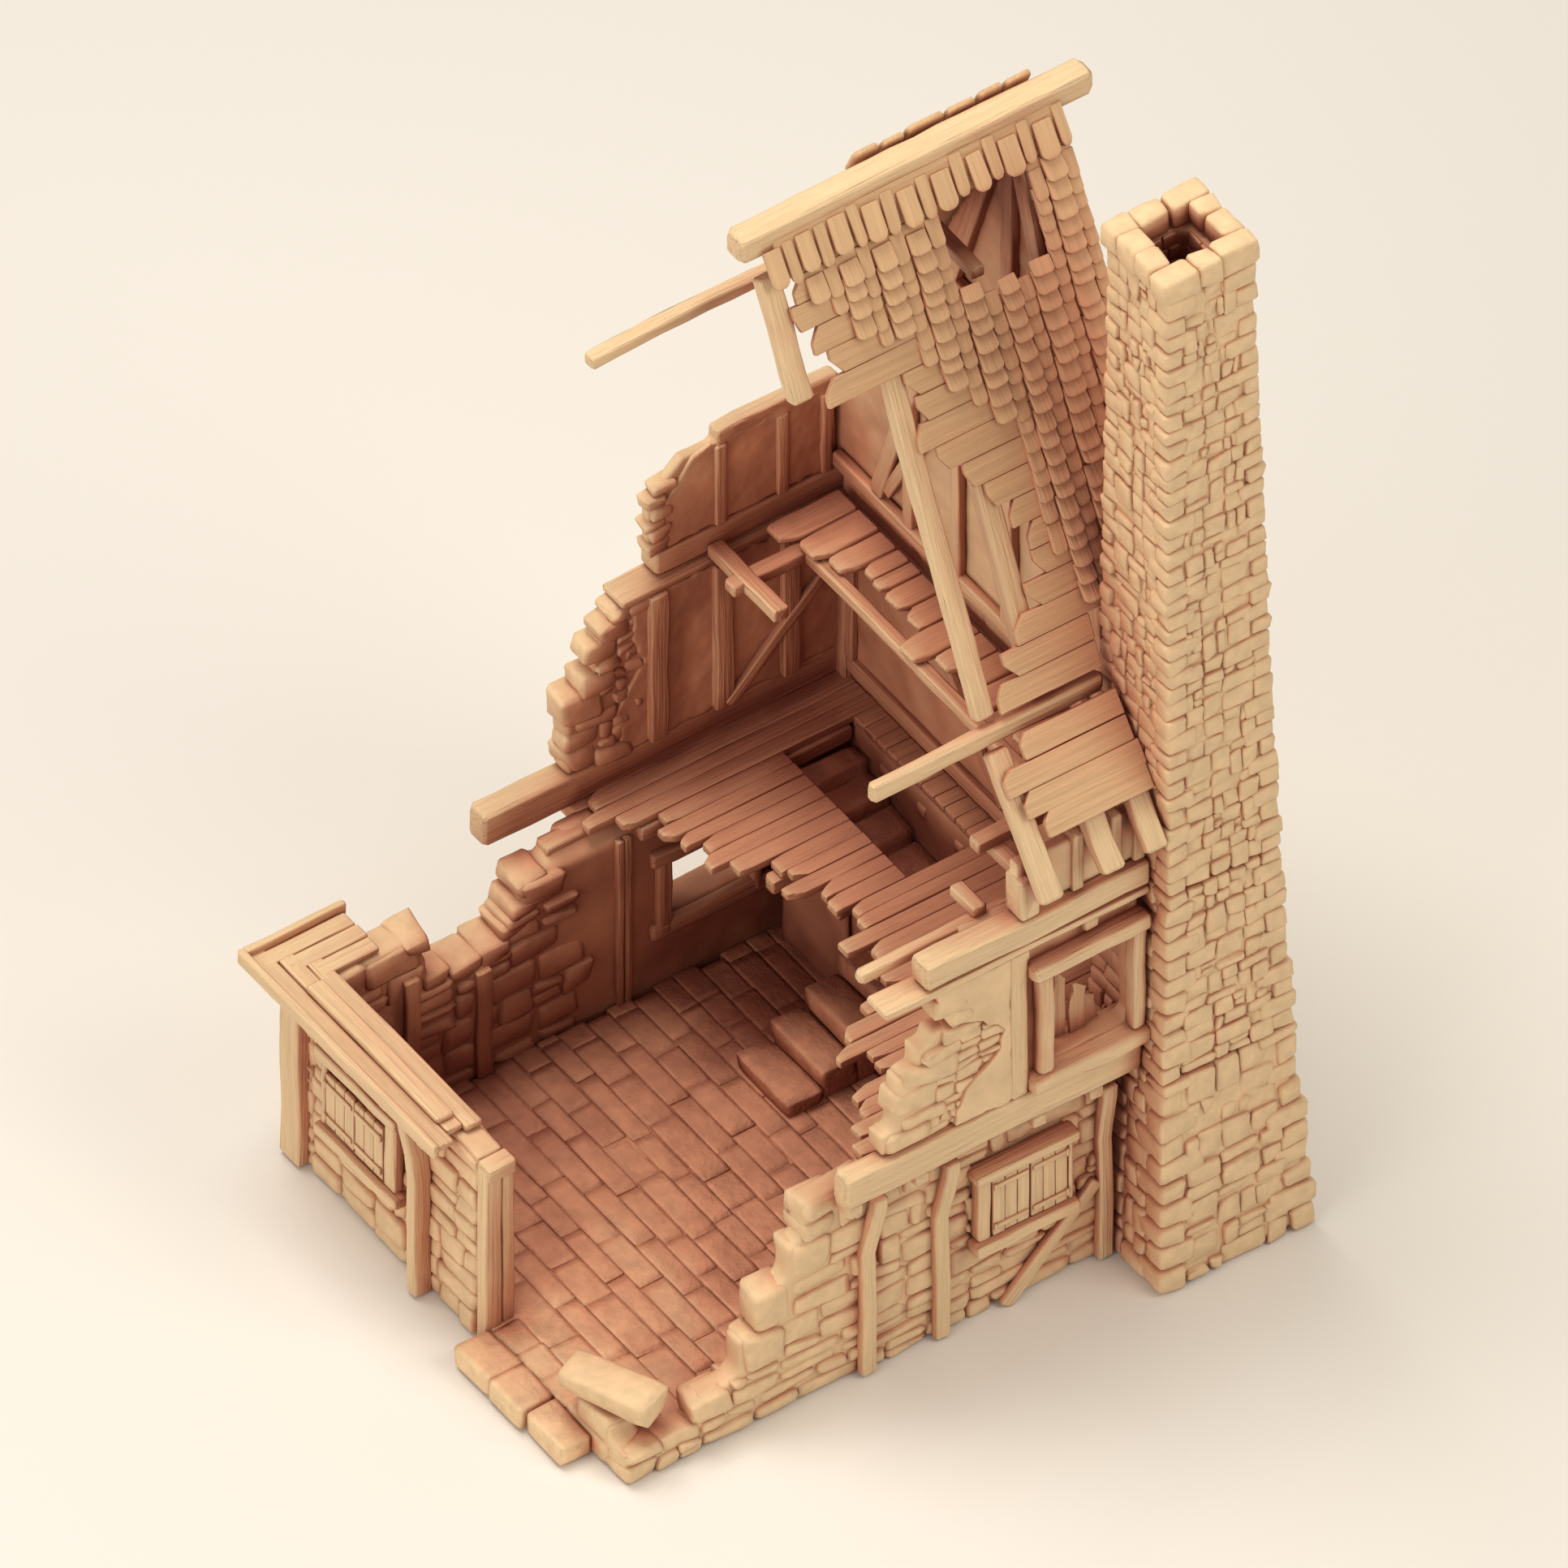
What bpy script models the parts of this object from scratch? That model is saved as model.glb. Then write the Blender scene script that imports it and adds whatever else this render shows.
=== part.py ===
"""Miniature terrain ruin: a half-timbered stone house, broken open on two sides, in three storeys that lift apart."""

import math

import bmesh
import bpy
from mathutils import Matrix, Vector

# Plan positions below are in millimetres from the outer corner of the two ground-storey walls.
ORIGIN_X = 78.0  # plan centre of the base, which is the model's origin
ORIGIN_Y = 70.0
SEAM_GROUND = 66.5  # height where the upper storey lifts off the ground storey
SEAM_ROOF = 130.3  # height where the roof storey lifts off the upper storey
DECK_TOP = 69.0
FLOOR_TOP = 5.5
WALL_THICK = 8.0
GAP = 0.3
RIDGE_Y = 72.75
ROOF_STEEP = 2.204  # rise per millimetre, main slope
ROOF_SHALLOW = 1.327  # rise per millimetre, bell-cast at the eaves
RAFTER_DEPTH = 9.7  # vertical depth of a rafter on the main slope
CHIMNEY_TOP = 332.0
STONE = (0.70, 0.55, 0.38)
TIMBER = (0.62, 0.44, 0.28)
PLASTER = (0.74, 0.60, 0.44)
SHINGLE = (0.66, 0.46, 0.31)

for old in list(bpy.data.objects):
    bpy.data.objects.remove(old, do_unlink=True)

house = bpy.data.collections.new("terrain_ruin")
helpers = bpy.data.collections.new("helpers")
bpy.context.scene.collection.children.link(house)
bpy.context.scene.collection.children.link(helpers)
helpers.hide_render = True


def paint(obj, colour):
    material = bpy.data.materials.new(obj.name)
    material.use_nodes = True
    shader = material.node_tree.nodes["Principled BSDF"]
    shader.inputs["Base Color"].default_value = (*colour, 1)
    shader.inputs["Roughness"].default_value = 0.75
    obj.data.materials.clear()
    obj.data.materials.append(material)


def register(name, mesh, colour, pivot=(0, 0, 0)):
    """Links a mesh given in millimetres on the corner's axes, with its origin at the pivot."""
    shift = Matrix.Translation(Vector(pivot) * -1)
    mesh.transform(Matrix.Scale(0.001, 4) @ shift)
    obj = bpy.data.objects.new(name, mesh)
    obj.location = ((pivot[0] - ORIGIN_X) / 1000, (pivot[1] - ORIGIN_Y) / 1000, pivot[2] / 1000)
    house.objects.link(obj)
    paint(obj, colour)
    return obj


def box_mesh(low, high, turn=None):
    low, high = Vector(low), Vector(high)
    shape = bmesh.new()
    bmesh.ops.create_cube(shape, size=1)
    size = Matrix.Diagonal((*(high - low), 1))
    place = Matrix.Translation((low + high) / 2) @ (turn or Matrix.Identity(4)) @ size
    bmesh.ops.transform(shape, matrix=place, verts=shape.verts)
    mesh = bpy.data.meshes.new("box")
    shape.to_mesh(mesh)
    shape.free()
    return mesh


def prism_mesh(outline, along, start, end, holes=()):
    """Flat outlines run along X, Y or Z. An X prism takes (y, z), a Y prism (x, z), a Z prism (x, y)."""
    curve = bpy.data.curves.new("outline", "CURVE")
    curve.dimensions = "2D"
    curve.fill_mode = "BOTH"
    curve.extrude = (end - start) / 2
    for points in (outline, *holes):
        spline = curve.splines.new("POLY")
        spline.points.add(len(points) - 1)
        for point, (a, b) in zip(spline.points, points):
            point.co = (a, b, 0, 1)
        spline.use_cyclic_u = True
    holder = bpy.data.objects.new("outline", curve)
    helpers.objects.link(holder)
    mesh = bpy.data.meshes.new_from_object(holder)
    bpy.data.objects.remove(holder)
    shape = bmesh.new()
    shape.from_mesh(mesh)
    bmesh.ops.remove_doubles(shape, verts=shape.verts, dist=0.0001)
    middle = (start + end) / 2
    frames = {
        "X": Matrix(((0, 0, 1, middle), (1, 0, 0, 0), (0, 1, 0, 0), (0, 0, 0, 1))),
        "Y": Matrix(((1, 0, 0, 0), (0, 0, 1, middle), (0, 1, 0, 0), (0, 0, 0, 1))),
        "Z": Matrix.Translation((0, 0, middle)),
    }
    bmesh.ops.transform(shape, matrix=frames[along], verts=shape.verts)
    bmesh.ops.recalc_face_normals(shape, faces=shape.faces)
    shape.to_mesh(mesh)
    shape.free()
    return mesh


def taper_mesh(bottom, top, low, high):
    """Four-sided block between two plan rectangles, each (x0, y0, x1, y1)."""
    mesh = box_mesh((0, 0, 0), (1, 1, 1))
    for vertex in mesh.vertices:
        x0, y0, x1, y1 = top if vertex.co.z > 0.5 else bottom
        vertex.co = (
            x1 if vertex.co.x > 0.5 else x0,
            y1 if vertex.co.y > 0.5 else y0,
            high if vertex.co.z > 0.5 else low,
        )
    return mesh


def block(name, low, high, colour, turn=None, pivot=(0, 0, 0)):
    return register(name, box_mesh(low, high, turn), colour, pivot)


def prism(name, outline, along, start, end, colour, holes=()):
    return register(name, prism_mesh(outline, along, start, end, holes), colour)


def combine(target, mesh, operation):
    """Adds or takes away a mesh given in millimetres on the corner's axes."""
    tool = register(target.name + "_tool", mesh, STONE)
    house.objects.unlink(tool)
    helpers.objects.link(tool)
    tool.hide_render = True
    tool.display_type = "WIRE"
    step = target.modifiers.new(operation.lower(), "BOOLEAN")
    step.operation = operation
    step.solver = "EXACT"
    step.object = tool


def add(target, mesh):
    combine(target, mesh, "UNION")


def cut(target, mesh):
    combine(target, mesh, "DIFFERENCE")


def soften(obj, width=0.6):
    edge = obj.modifiers.new("edge", "BEVEL")
    edge.width = width / 1000
    edge.segments = 1
    edge.limit_method = "ANGLE"
    edge.angle_limit = math.radians(40)


def rect(a0, b0, a1, b1):
    return [(a0, b0), (a1, b0), (a1, b1), (a0, b1)]


def main_slope(y):
    return 168 + ROOF_STEEP * (RIDGE_Y - abs(y - RIDGE_Y))


def eaves_slope(y):
    return 174.5 + ROOF_SHALLOW * (RIDGE_Y - abs(y - RIDGE_Y))


# Ground storey: floor and doorstep
floor_outline = [
    (8.3, 8.3), (145.2, 8.3), (145.2, 15.6), (159.7, 15.6), (159.7, 134.4),
    (8.3, 134.4), (8.3, 58.6), (0.3, 58.6), (0.3, 14.3), (8.3, 14.3),
]
prism("base_floor", floor_outline, "Z", 0, FLOOR_TOP, STONE)
soften(block("doorstep_long", (-11, 30.2, 0), (-0.3, 58.6, 7), STONE))
soften(block("doorstep_short", (-10, 13.8, 0), (-0.3, 29.8, 6.6), STONE))
fallen_turn = Matrix.Rotation(math.radians(-66.8), 4, "Z") @ Matrix.Rotation(math.radians(4), 4, "X")
soften(block("fallen_block", (-7.4, 8.9, 15.6), (19.2, 19.9, 22.6), STONE, fallen_turn), 1.2)

# Ground storey: walls, stepped where they have broken away
front_steps = [
    (0, 0), (145.5, 0), (145.5, 66.2), (53, 66.2), (53, 53), (49, 53), (49, 41.6), (41, 41.6),
    (41, 29.5), (34, 29.5), (34, 17), (22, 17), (22, 9), (0, 9),
]
front_hole = rect(107, 28.3, 130.1, 49.3)
wall_front = prism("wall_front", front_steps, "Y", 0, WALL_THICK, STONE, [front_hole])
add(wall_front, box_mesh((0, 7, 0), (8, 14, 14.6)))
facade_hole = rect(100, 25.2, 125, 43.8)
facade_outline = rect(63.5, 0, 134.4, 61.7)
prism("wall_left", facade_outline, "X", 0, WALL_THICK, STONE, [facade_hole])
back_top = [
    (168, 62.2), (72, 62.2), (64, 61.5), (63.4, 57.5), (61.5, 53), (61, 47.5), (56, 48), (56, 44.5),
    (42, 44.5), (41, 43), (36, 46), (33, 61.7), (0, 61.7),
]
back_hole = rect(107, 27, 131, 47)
wall_back = prism("wall_back", [(0, 0), (168, 0), *back_top], "Y", 134.7, 145, STONE, [back_hole])
add(wall_back, box_mesh((72.5, 138.5, 62), (168, 143.7, 65.8)))
add(wall_back, box_mesh((26, 132.5, FLOOR_TOP + GAP), (30.4, 135, 51)))
add(wall_back, box_mesh((47.7, 132.5, FLOOR_TOP + GAP), (52.6, 135, 42)))
block("wall_gable", (160, 15.3, 0), (168, 134.4, 66.2), STONE)

# Ground storey: timber posts and the two shuttered windows
soften(block("corner_post", (-3.2, 136.5, 0), (-0.3, 144.7, 61.7), TIMBER))
soften(block("facade_post", (-5.8, 83, 0), (-0.3, 86.5, 61.7), TIMBER), 0.4)
door_post = block("door_post", (-1, 58.9, 0), (4.1, 63.2, 60), TIMBER)
add(door_post, box_mesh((4, 59.3, FLOOR_TOP + GAP), (8, 63.2, 58)))
for side, x, lean in (("left", 69, 2.5), ("middle", 91, 2), ("right", 140, 0)):
    width = 4.4
    outline = [
        (x, 0), (x + width, 0), (x + width, 44), (x + width + lean, 54), (x + width + lean, 60),
        (x + lean, 60), (x + lean, 55), (x, 46),
    ]
    post = prism(f"front_post_{side}", outline, "Y", -3, -GAP, TIMBER)
    if side == "right":
        brace = [(110, 0), (114.5, 0), (141, 25), (141, 29.5)]
        add(post, prism_mesh(brace, "Y", -2.8, -0.5))
frame_outline = [
    (103, 28.3), (101.7, 28.3), (101.7, 24.5), (132.6, 24.5), (132.6, 28.3), (131.6, 28.3),
    (131.6, 49.3), (132.6, 49.3), (132.6, 52.4), (101.7, 52.4), (101.7, 49.3), (103, 49.3),
]
prism("front_window_frame", frame_outline, "Y", -6, -GAP, TIMBER, [front_hole])
frame_outline = [
    (95, 25), (93, 25), (93, 21.5), (127.6, 21.5), (127.6, 25), (126.5, 25),
    (126.5, 48.5), (127.6, 48.5), (127.6, 52.5), (94, 52.5), (94, 48.5), (95, 48.5),
]
prism("facade_window_frame", frame_outline, "X", -5, -GAP, TIMBER, [facade_hole])
leaves = (
    ("shutter_front_left", (107.3, -4.6, 28.6), (118.35, -3.0, 49), (107.3, -4.6, 38.8)),
    ("shutter_front_right", (118.75, -4.6, 28.6), (129.8, -3.0, 49), (129.8, -4.6, 38.8)),
    ("shutter_facade_left", (-3.6, 112.7, 25.5), (-2.0, 124.7, 43.5), (-3.6, 124.7, 34.5)),
    ("shutter_facade_right", (-3.6, 100.3, 25.5), (-2.0, 112.3, 43.5), (-3.6, 100.3, 34.5)),
)
for name, low, high, hinge in leaves:
    block(name, low, high, TIMBER, pivot=hinge)
jetty_outline = [(-9.8, 70), (7.3, 72.5), (7.3, 135.6), (21.5, 135.6), (21.5, 153.7), (-9.8, 153.7)]
jetty = prism("jetty_deck", jetty_outline, "Z", 62, 64, TIMBER)
fascia = [
    (-9.8, 70), (-7.8, 70), (-7.8, 151.7), (21.5, 151.7), (21.5, 153.7), (-9.8, 153.7),
]
add(jetty, prism_mesh(fascia, "Z", 63, 66))
add(jetty, box_mesh((-3, 76, 63.5), (2.5, 134, 66.2)))

# Ground storey: stairs turning up to the deck
tread = 10.0
rise = 5.9
lower = [(102.7, FLOOR_TOP + GAP), (102.7, 10)]
for step in range(1, 4):
    lower += [(102.7 + step * tread, 10 + (step - 1) * rise), (102.7 + step * tread, 10 + step * rise)]
landing = [(143, 27.7), (143, 33.6), (151, 33.6), (151, 38), (159.7, 38), (159.7, FLOOR_TOP + GAP)]
stair_lower = prism("stair_lower", lower + landing, "Y", 77, 82.7, STONE)
flight = lower + [(139, 27.7), (139, FLOOR_TOP + GAP)]
add(stair_lower, prism_mesh(flight, "Y", 80, 99.9))
upper = [(83, FLOOR_TOP + GAP), (83, 43), (93, 43), (93, 48), (103.3, 48), (103.3, 52.6), (114, 52.6)]
upper += [(114, 57), (123, 57), (123, 61), (130.2, 61), (130.2, FLOOR_TOP + GAP)]
prism("stair_upper", upper, "X", 139.3, 159.7, STONE)
block("stair_partition", (136.6, 100.3, FLOOR_TOP + GAP), (139, 130.2, 60.7), TIMBER)

# Chimney in three lengths, with an open flue down from the cap
base = taper_mesh((145.9, -21.6, 191, 15), (150, -16.3, 188.8, 15), 0, 66.2)
register("chimney_base", base, STONE)
middle = taper_mesh((150, -16.3, 188.8, 15), (152.1, -16.1, 184.6, 15), 66.8, 130)
register("chimney_middle", middle, STONE)
stack = taper_mesh((152.1, -16.1, 184.6, 15), (155, -10.9, 180.1, 13.6), SEAM_ROOF, CHIMNEY_TOP)
chimney_top = register("chimney_top", stack, STONE)
chimney_cap = block("chimney_cap", (153.4, -12.5, CHIMNEY_TOP + GAP), (181.7, 15.2, 340), STONE)
for piece in (chimney_top, chimney_cap):
    cut(piece, box_mesh((159.3, -7.7, 180), (174.2, 9.1, 350)))

# Upper storey: deck with splintered board ends, its joists and the two sill beams
ragged = [
    (86, 144), (88, 138), (92, 136), (98.5, 129), (102, 121), (102, 115), (104, 112), (101, 106.5),
    (113, 102), (124, 96), (112, 89), (117, 84.6), (117, 80), (125, 74), (124, 69), (113.5, 65),
    (124, 63), (118, 56), (98, 40), (90, 35), (96, 30.5), (93, 25), (79, 16), (81.5, 12.4),
    (75.4, 9.5), (76, -1.8),
]
deck = [(167, 146.2), (86, 146.2), *ragged, (149.6, -1.8), (149.6, 15.4), (167, 15.4)]
opening = rect(138.9, 77, 159.9, 131)
prism("floor_deck", deck, "Z", SEAM_GROUND, DECK_TOP, TIMBER, [opening])
joists = block("floor_joists", (134.6, 60, 62.3), (138.6, 99.8, 66.3), TIMBER)
add(joists, box_mesh((118, 96.8, 61.8), (138, 100.8, 66.3)))
add(joists, box_mesh((123.5, 80.2, 61.8), (138, 84.2, 66.3)))
add(joists, box_mesh((134.6, 99, 62.3), (138.6, 134.2, 66.3)))
add(joists, box_mesh((99, 130.5, 61.8), (159.5, 134.3, 66.3)))
soften(block("sill_beam_front", (60.5, -8.4, 66.9), (149.6, -2.1, 77.2), TIMBER), 0.9)
soften(block("sill_beam_back", (60, 146.5, 66.9), (175, 153.9, 77.2), TIMBER), 0.9)

# Upper storey: walls
front_left = [
    (88, 127.4), (88, 118), (96, 117), (96, 112), (87, 112), (87, 108), (83, 108), (83, 101),
    (77.5, 101), (77.5, 91), (76.5, 91), (76.5, 84), (72.5, 84), (72.5, 77.5),
]
window = rect(121.8, 83, 147.5, 117.6)
front_face = [(149.6, 77.5), (149.6, 127.4), *front_left]
upper_front = prism("upper_wall_front", front_face, "Y", -6.3, 0, PLASTER, [window])
add(upper_front, box_mesh((110, -8.4, 77.5), (115, -6, 127.4)))
frame_outline = [
    (117.7, 83), (116, 83), (116, 78), (149.6, 78), (149.6, 121.6), (116, 121.6), (116, 117.6),
    (117.7, 117.6),
]
prism("upper_window_frame", frame_outline, "Y", -11, -6.6, TIMBER, [window])
back_left = [
    (99.7, 127.4), (96.5, 120), (92, 115), (94, 106), (90, 102), (85, 97), (85, 90), (89, 86),
    (85, 84), (85, 77.5),
]
back_face = [(175.4, 77.5), (175.4, 127.4), *back_left]
upper_back = prism("upper_wall_back", back_face, "Y", 147, 153.9, PLASTER)
for x in (108.7, 128.2, 148.5):
    add(upper_back, box_mesh((x, 145, 77.5), (x + 5.4, 148, 127.4)))
add(upper_back, prism_mesh([(131, 78), (134.5, 78), (165, 110), (161.5, 110)], "Y", 145.6, 148))
block("upper_wall_gable", (167.7, 15.3, 66.9), (175.4, 145.3, 129.9), PLASTER)
soften(block("upper_plate_front", (71.6, -9.3, 127.7), (151, -0.7, 129.9), TIMBER), 0.4)
soften(block("upper_plate_back", (100.8, 145.6, 127.7), (176, 154.8, 129.9), TIMBER), 0.4)

# Roof storey: beams and attic walls
soften(block("eaves_beam_front", (84, -9.5, 130.8), (151.3, -2, 138.5), TIMBER), 0.9)
soften(block("attic_beam_back", (112.5, 147.6, 130.8), (176, 155.1, 138.5), TIMBER), 0.9)
attic_front = block("attic_wall_front", (113, -6.6, 138.8), (151.5, -2.6, 156), PLASTER)
add(attic_front, box_mesh((112.2, -9.3, 138.8), (118, -2, 151)))
attic_left = [(129.5, 166), (121, 166), (114, 160), (111, 156), (110.6, 144.6), (110.6, 138.8)]
attic_back = [(167.4, 138.8), (167.4, 166), *attic_left]
wall = prism("attic_wall_back", attic_back, "Y", 148.7, 152, PLASTER)
add(wall, box_mesh((131, 148, 165.5), (167.4, 152, 170.3)))
for x in (130, 148.7, 162):
    add(wall, box_mesh((x, 147.4, 138.8), (x + 3.2, 149.5, 166)))
gable = [
    (15.6, SEAM_ROOF + GAP), (147.3, SEAM_ROOF + GAP), (147.3, 138.8), (152, 138.8),
    (152, eaves_slope(152) - 1), (136.6, main_slope(136.6) - 1), (74, 319), (71.5, 319),
    (15.6, main_slope(15.6) - 1),
]
prism("attic_gable", gable, "X", 167.7, 175.4, PLASTER)
timbers = [
    (16, 141), (147, 141), (147, 145), (136, main_slope(136) - 5), (74, 314), (71.5, 314),
    (16, main_slope(16) - 5),
]
panels = [
    [(22, 146), (70, 146), (70, 200), (24, 200)],
    [(75, 146), (138, 146), (122, 200), (75, 200)],
    [(27, 205), (70, 205), (70, 285), (62, 285)],
    [(75, 205), (120, 205), (84, 285), (75, 285)],
]
prism("gable_timbers", timbers, "X", 164.4, 167.3, TIMBER, panels)

# Roof storey: ridge, purlins and rafters
soften(block("ridge_beam", (83, 69, 320), (189, 76.5, 328), TIMBER), 1.2)
soften(block("purlin_front", (80.5, 8.85, 183.5), (150, 12.2, 189.2), TIMBER), 0.5)
purlin_back = block("purlin_back", (50, 86, 289), (164, 90, 292.6), TIMBER)
add(purlin_back, box_mesh((146, 62, 286.6), (150, 87, 290.2)))
for side, x, width, foot in (("left", 87, 6, 54), ("middle", 113, 5.5, 12.6), ("right", 129.5, 6, 12.6)):
    head = 68.6
    outline = [
        (foot, main_slope(foot) - RAFTER_DEPTH), (head, main_slope(head) - RAFTER_DEPTH),
        (head, main_slope(head)), (foot, main_slope(foot)),
    ]
    if side == "right":
        outline[1:3] = [(60, main_slope(60) - RAFTER_DEPTH), (60, main_slope(60))]
    prism(f"rafter_{side}", outline, "X", x, x + width, TIMBER)
for side, x in (("left", 113.6), ("middle", 131.8), ("right", 145.2)):
    outline = [
        (-16, eaves_slope(-16) - 6.5), (8.5, eaves_slope(8.5) - 6.5), (8.5, eaves_slope(8.5)),
        (-13, eaves_slope(-13)), (-16, eaves_slope(-16)),
    ]
    prism(f"rafter_tail_{side}", outline, "X", x, x + 6.2, TIMBER)


def slope_mesh(outline, height, lift, thick, holes=()):
    """A sheet of even upright thickness lying on a roof slope, from its outline in plan."""
    mesh = prism_mesh(outline, "Z", lift, lift + thick, holes)
    for vertex in mesh.vertices:
        vertex.co.z += height(vertex.co.y)
    return mesh


# Roof storey: boarding and shingles on the front slope, broken back towards the chimney
boards_left = [
    (118, 9.8), (124, 14.2), (136, 20), (139, 26.5), (130, 32.7), (123.6, 38.8), (113.3, 40),
    (120, 45), (119, 48.4), (98.3, 50), (96.4, 58), (94, 61),
]
boards = [(149.5, 9.8), (149.5, 15.6), (178.3, 15.6), (178.3, 68.6), (94, 68.6), *boards_left[::-1]]
roof_hole = rect(138, 52.5, 165, 60.5)
sheet = slope_mesh(boards, main_slope, GAP, 2.7, [roof_hole])
boarding = register("sheathing_front", sheet, TIMBER)
lower_left = [(121, -9.5), (118, -6), (114, -2), (122.6, 2.2), (122.6, 7)]
eaves_sheet = [(151.4, -9.5), (151.4, 11), (122.6, 11), *lower_left[::-1]]
add(boarding, slope_mesh(eaves_sheet, eaves_slope, 3.3, 2.6))
shingle_left = [
    (147, 15), (148, 18.4), (146, 21), (144, 29), (142, 36), (133, 41), (127, 44), (121, 48),
    (113.6, 51), (108, 54), (95, 61.4),
]
shingles = [(151, 15.9), (178.3, 15.9), (178.3, 68.6), (90, 68.6), *shingle_left[::-1]]
register("shingles_front", slope_mesh(shingles, main_slope, 3.4, 2.6, [roof_hole]), SHINGLE)
back_sheet = [
    (124, 76.9), (178.3, 76.9), (178.3, 136), (158, 136), (154, 112), (150, 96), (140, 91), (126, 84),
]
roof_back = register("roof_back", slope_mesh(back_sheet, main_slope, GAP, 5), SHINGLE)
cut(roof_back, box_mesh((48, 85.6, 288.6), (164.4, 90.4, 293.2)))

# Roof storey: loft floor
loft_left = [
    (150.2, 30), (150, 82), (145, 82.5), (145, 91), (152, 91.5), (153.5, 107), (153.5, 117), (148, 117.5),
    (148, 125), (145.5, 125.5), (145.5, 134), (142, 134.5), (142, 143),
]
loft = [(164, 143), (164, 16), (156, 16), (154, 24), *loft_left]
prism("loft_floor", loft, "Z", 134.3, 136.6, TIMBER)
loft_frame = block("loft_trimmer", (145.5, 18, 130.4), (149, 131.5, 134), TIMBER)
add(loft_frame, box_mesh((124, 131, 130.4), (149, 135.5, 134)))
add(loft_frame, box_mesh((127, 117.7, 130.4), (131.5, 147.2, 134)))
soften(block("loft_batten", (72, 1.8, 130.8), (118, 5.4, 134.3), TIMBER), 0.4)
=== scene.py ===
import math

import bpy
import numpy as np
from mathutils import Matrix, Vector
from mathutils.bvhtree import BVHTree


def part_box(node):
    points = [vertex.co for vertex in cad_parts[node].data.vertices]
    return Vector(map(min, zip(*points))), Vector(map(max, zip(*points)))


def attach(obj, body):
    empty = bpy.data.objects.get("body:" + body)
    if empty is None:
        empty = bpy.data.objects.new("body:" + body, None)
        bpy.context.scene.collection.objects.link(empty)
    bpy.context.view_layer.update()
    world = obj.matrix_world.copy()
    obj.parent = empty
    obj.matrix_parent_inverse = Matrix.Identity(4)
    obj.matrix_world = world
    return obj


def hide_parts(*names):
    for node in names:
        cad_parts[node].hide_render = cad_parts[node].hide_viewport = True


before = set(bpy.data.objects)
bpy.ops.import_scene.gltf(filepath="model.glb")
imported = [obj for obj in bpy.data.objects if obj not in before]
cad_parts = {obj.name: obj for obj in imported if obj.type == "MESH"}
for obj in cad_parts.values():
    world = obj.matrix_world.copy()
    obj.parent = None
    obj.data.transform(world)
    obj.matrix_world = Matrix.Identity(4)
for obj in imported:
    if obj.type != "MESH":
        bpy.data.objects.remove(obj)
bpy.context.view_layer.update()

# Every length below is in millimetres, counted from the outer corner of the two ground-storey walls.
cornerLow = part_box("wall_front")[0]
cornerX, cornerY = cornerLow[0] * 1000, cornerLow[1] * 1000


def span(node):
    shift = np.array([cornerX, cornerY, 0])
    return [np.array(corner) * 1000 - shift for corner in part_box(node)]


def link(thing):
    bpy.context.scene.collection.objects.link(thing)


def toLinear(hexColour):
    channels = [int(hexColour[i:i + 2], 16) / 255 for i in (1, 3, 5)]
    return [c / 12.92 if c <= 0.04045 else ((c + 0.055) / 1.055) ** 2.4 for c in channels] + [1]


def addNode(tree, kind, settings=None, links=None, values=None):
    node = tree.nodes.new(kind)
    for key, value in (settings or {}).items():
        setattr(node, key, value)
    for key, value in (values or {}).items():
        node.inputs[key].default_value = value
    for key, source in (links or {}).items():
        tree.links.new(source, node.inputs[key])
    return node


# Cast polyurethane resin, matt and a little waxy. Its colour holds painted shade: sand beige where a point is open to
# the sky, terracotta where light reaches it only by passing or bouncing between walls.
resin = {
    "deep": "#864A3A",  # painted shade for the inside corners of the rooms
    "shade": "#C88B6D",
    "open": "#E3C59D",  # outer faces
    "shadeInCrevices": "#A4664E",  # painted shade in the joints and creases between stones and boards
    "openness": (0.12, 0.42, 0.9),  # share of open sky where each of the first three is reached
    "creviceShadeReach": 0.0018,  # metres
    "creviceShadeShare": 0.52,  # how much of the painted crevice shade the tightest joint takes
    "mottle": (0.9, 1.08),
    "roughness": 0.62,
    "ior": 1.48,
    "specular": 0.28,
}


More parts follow.
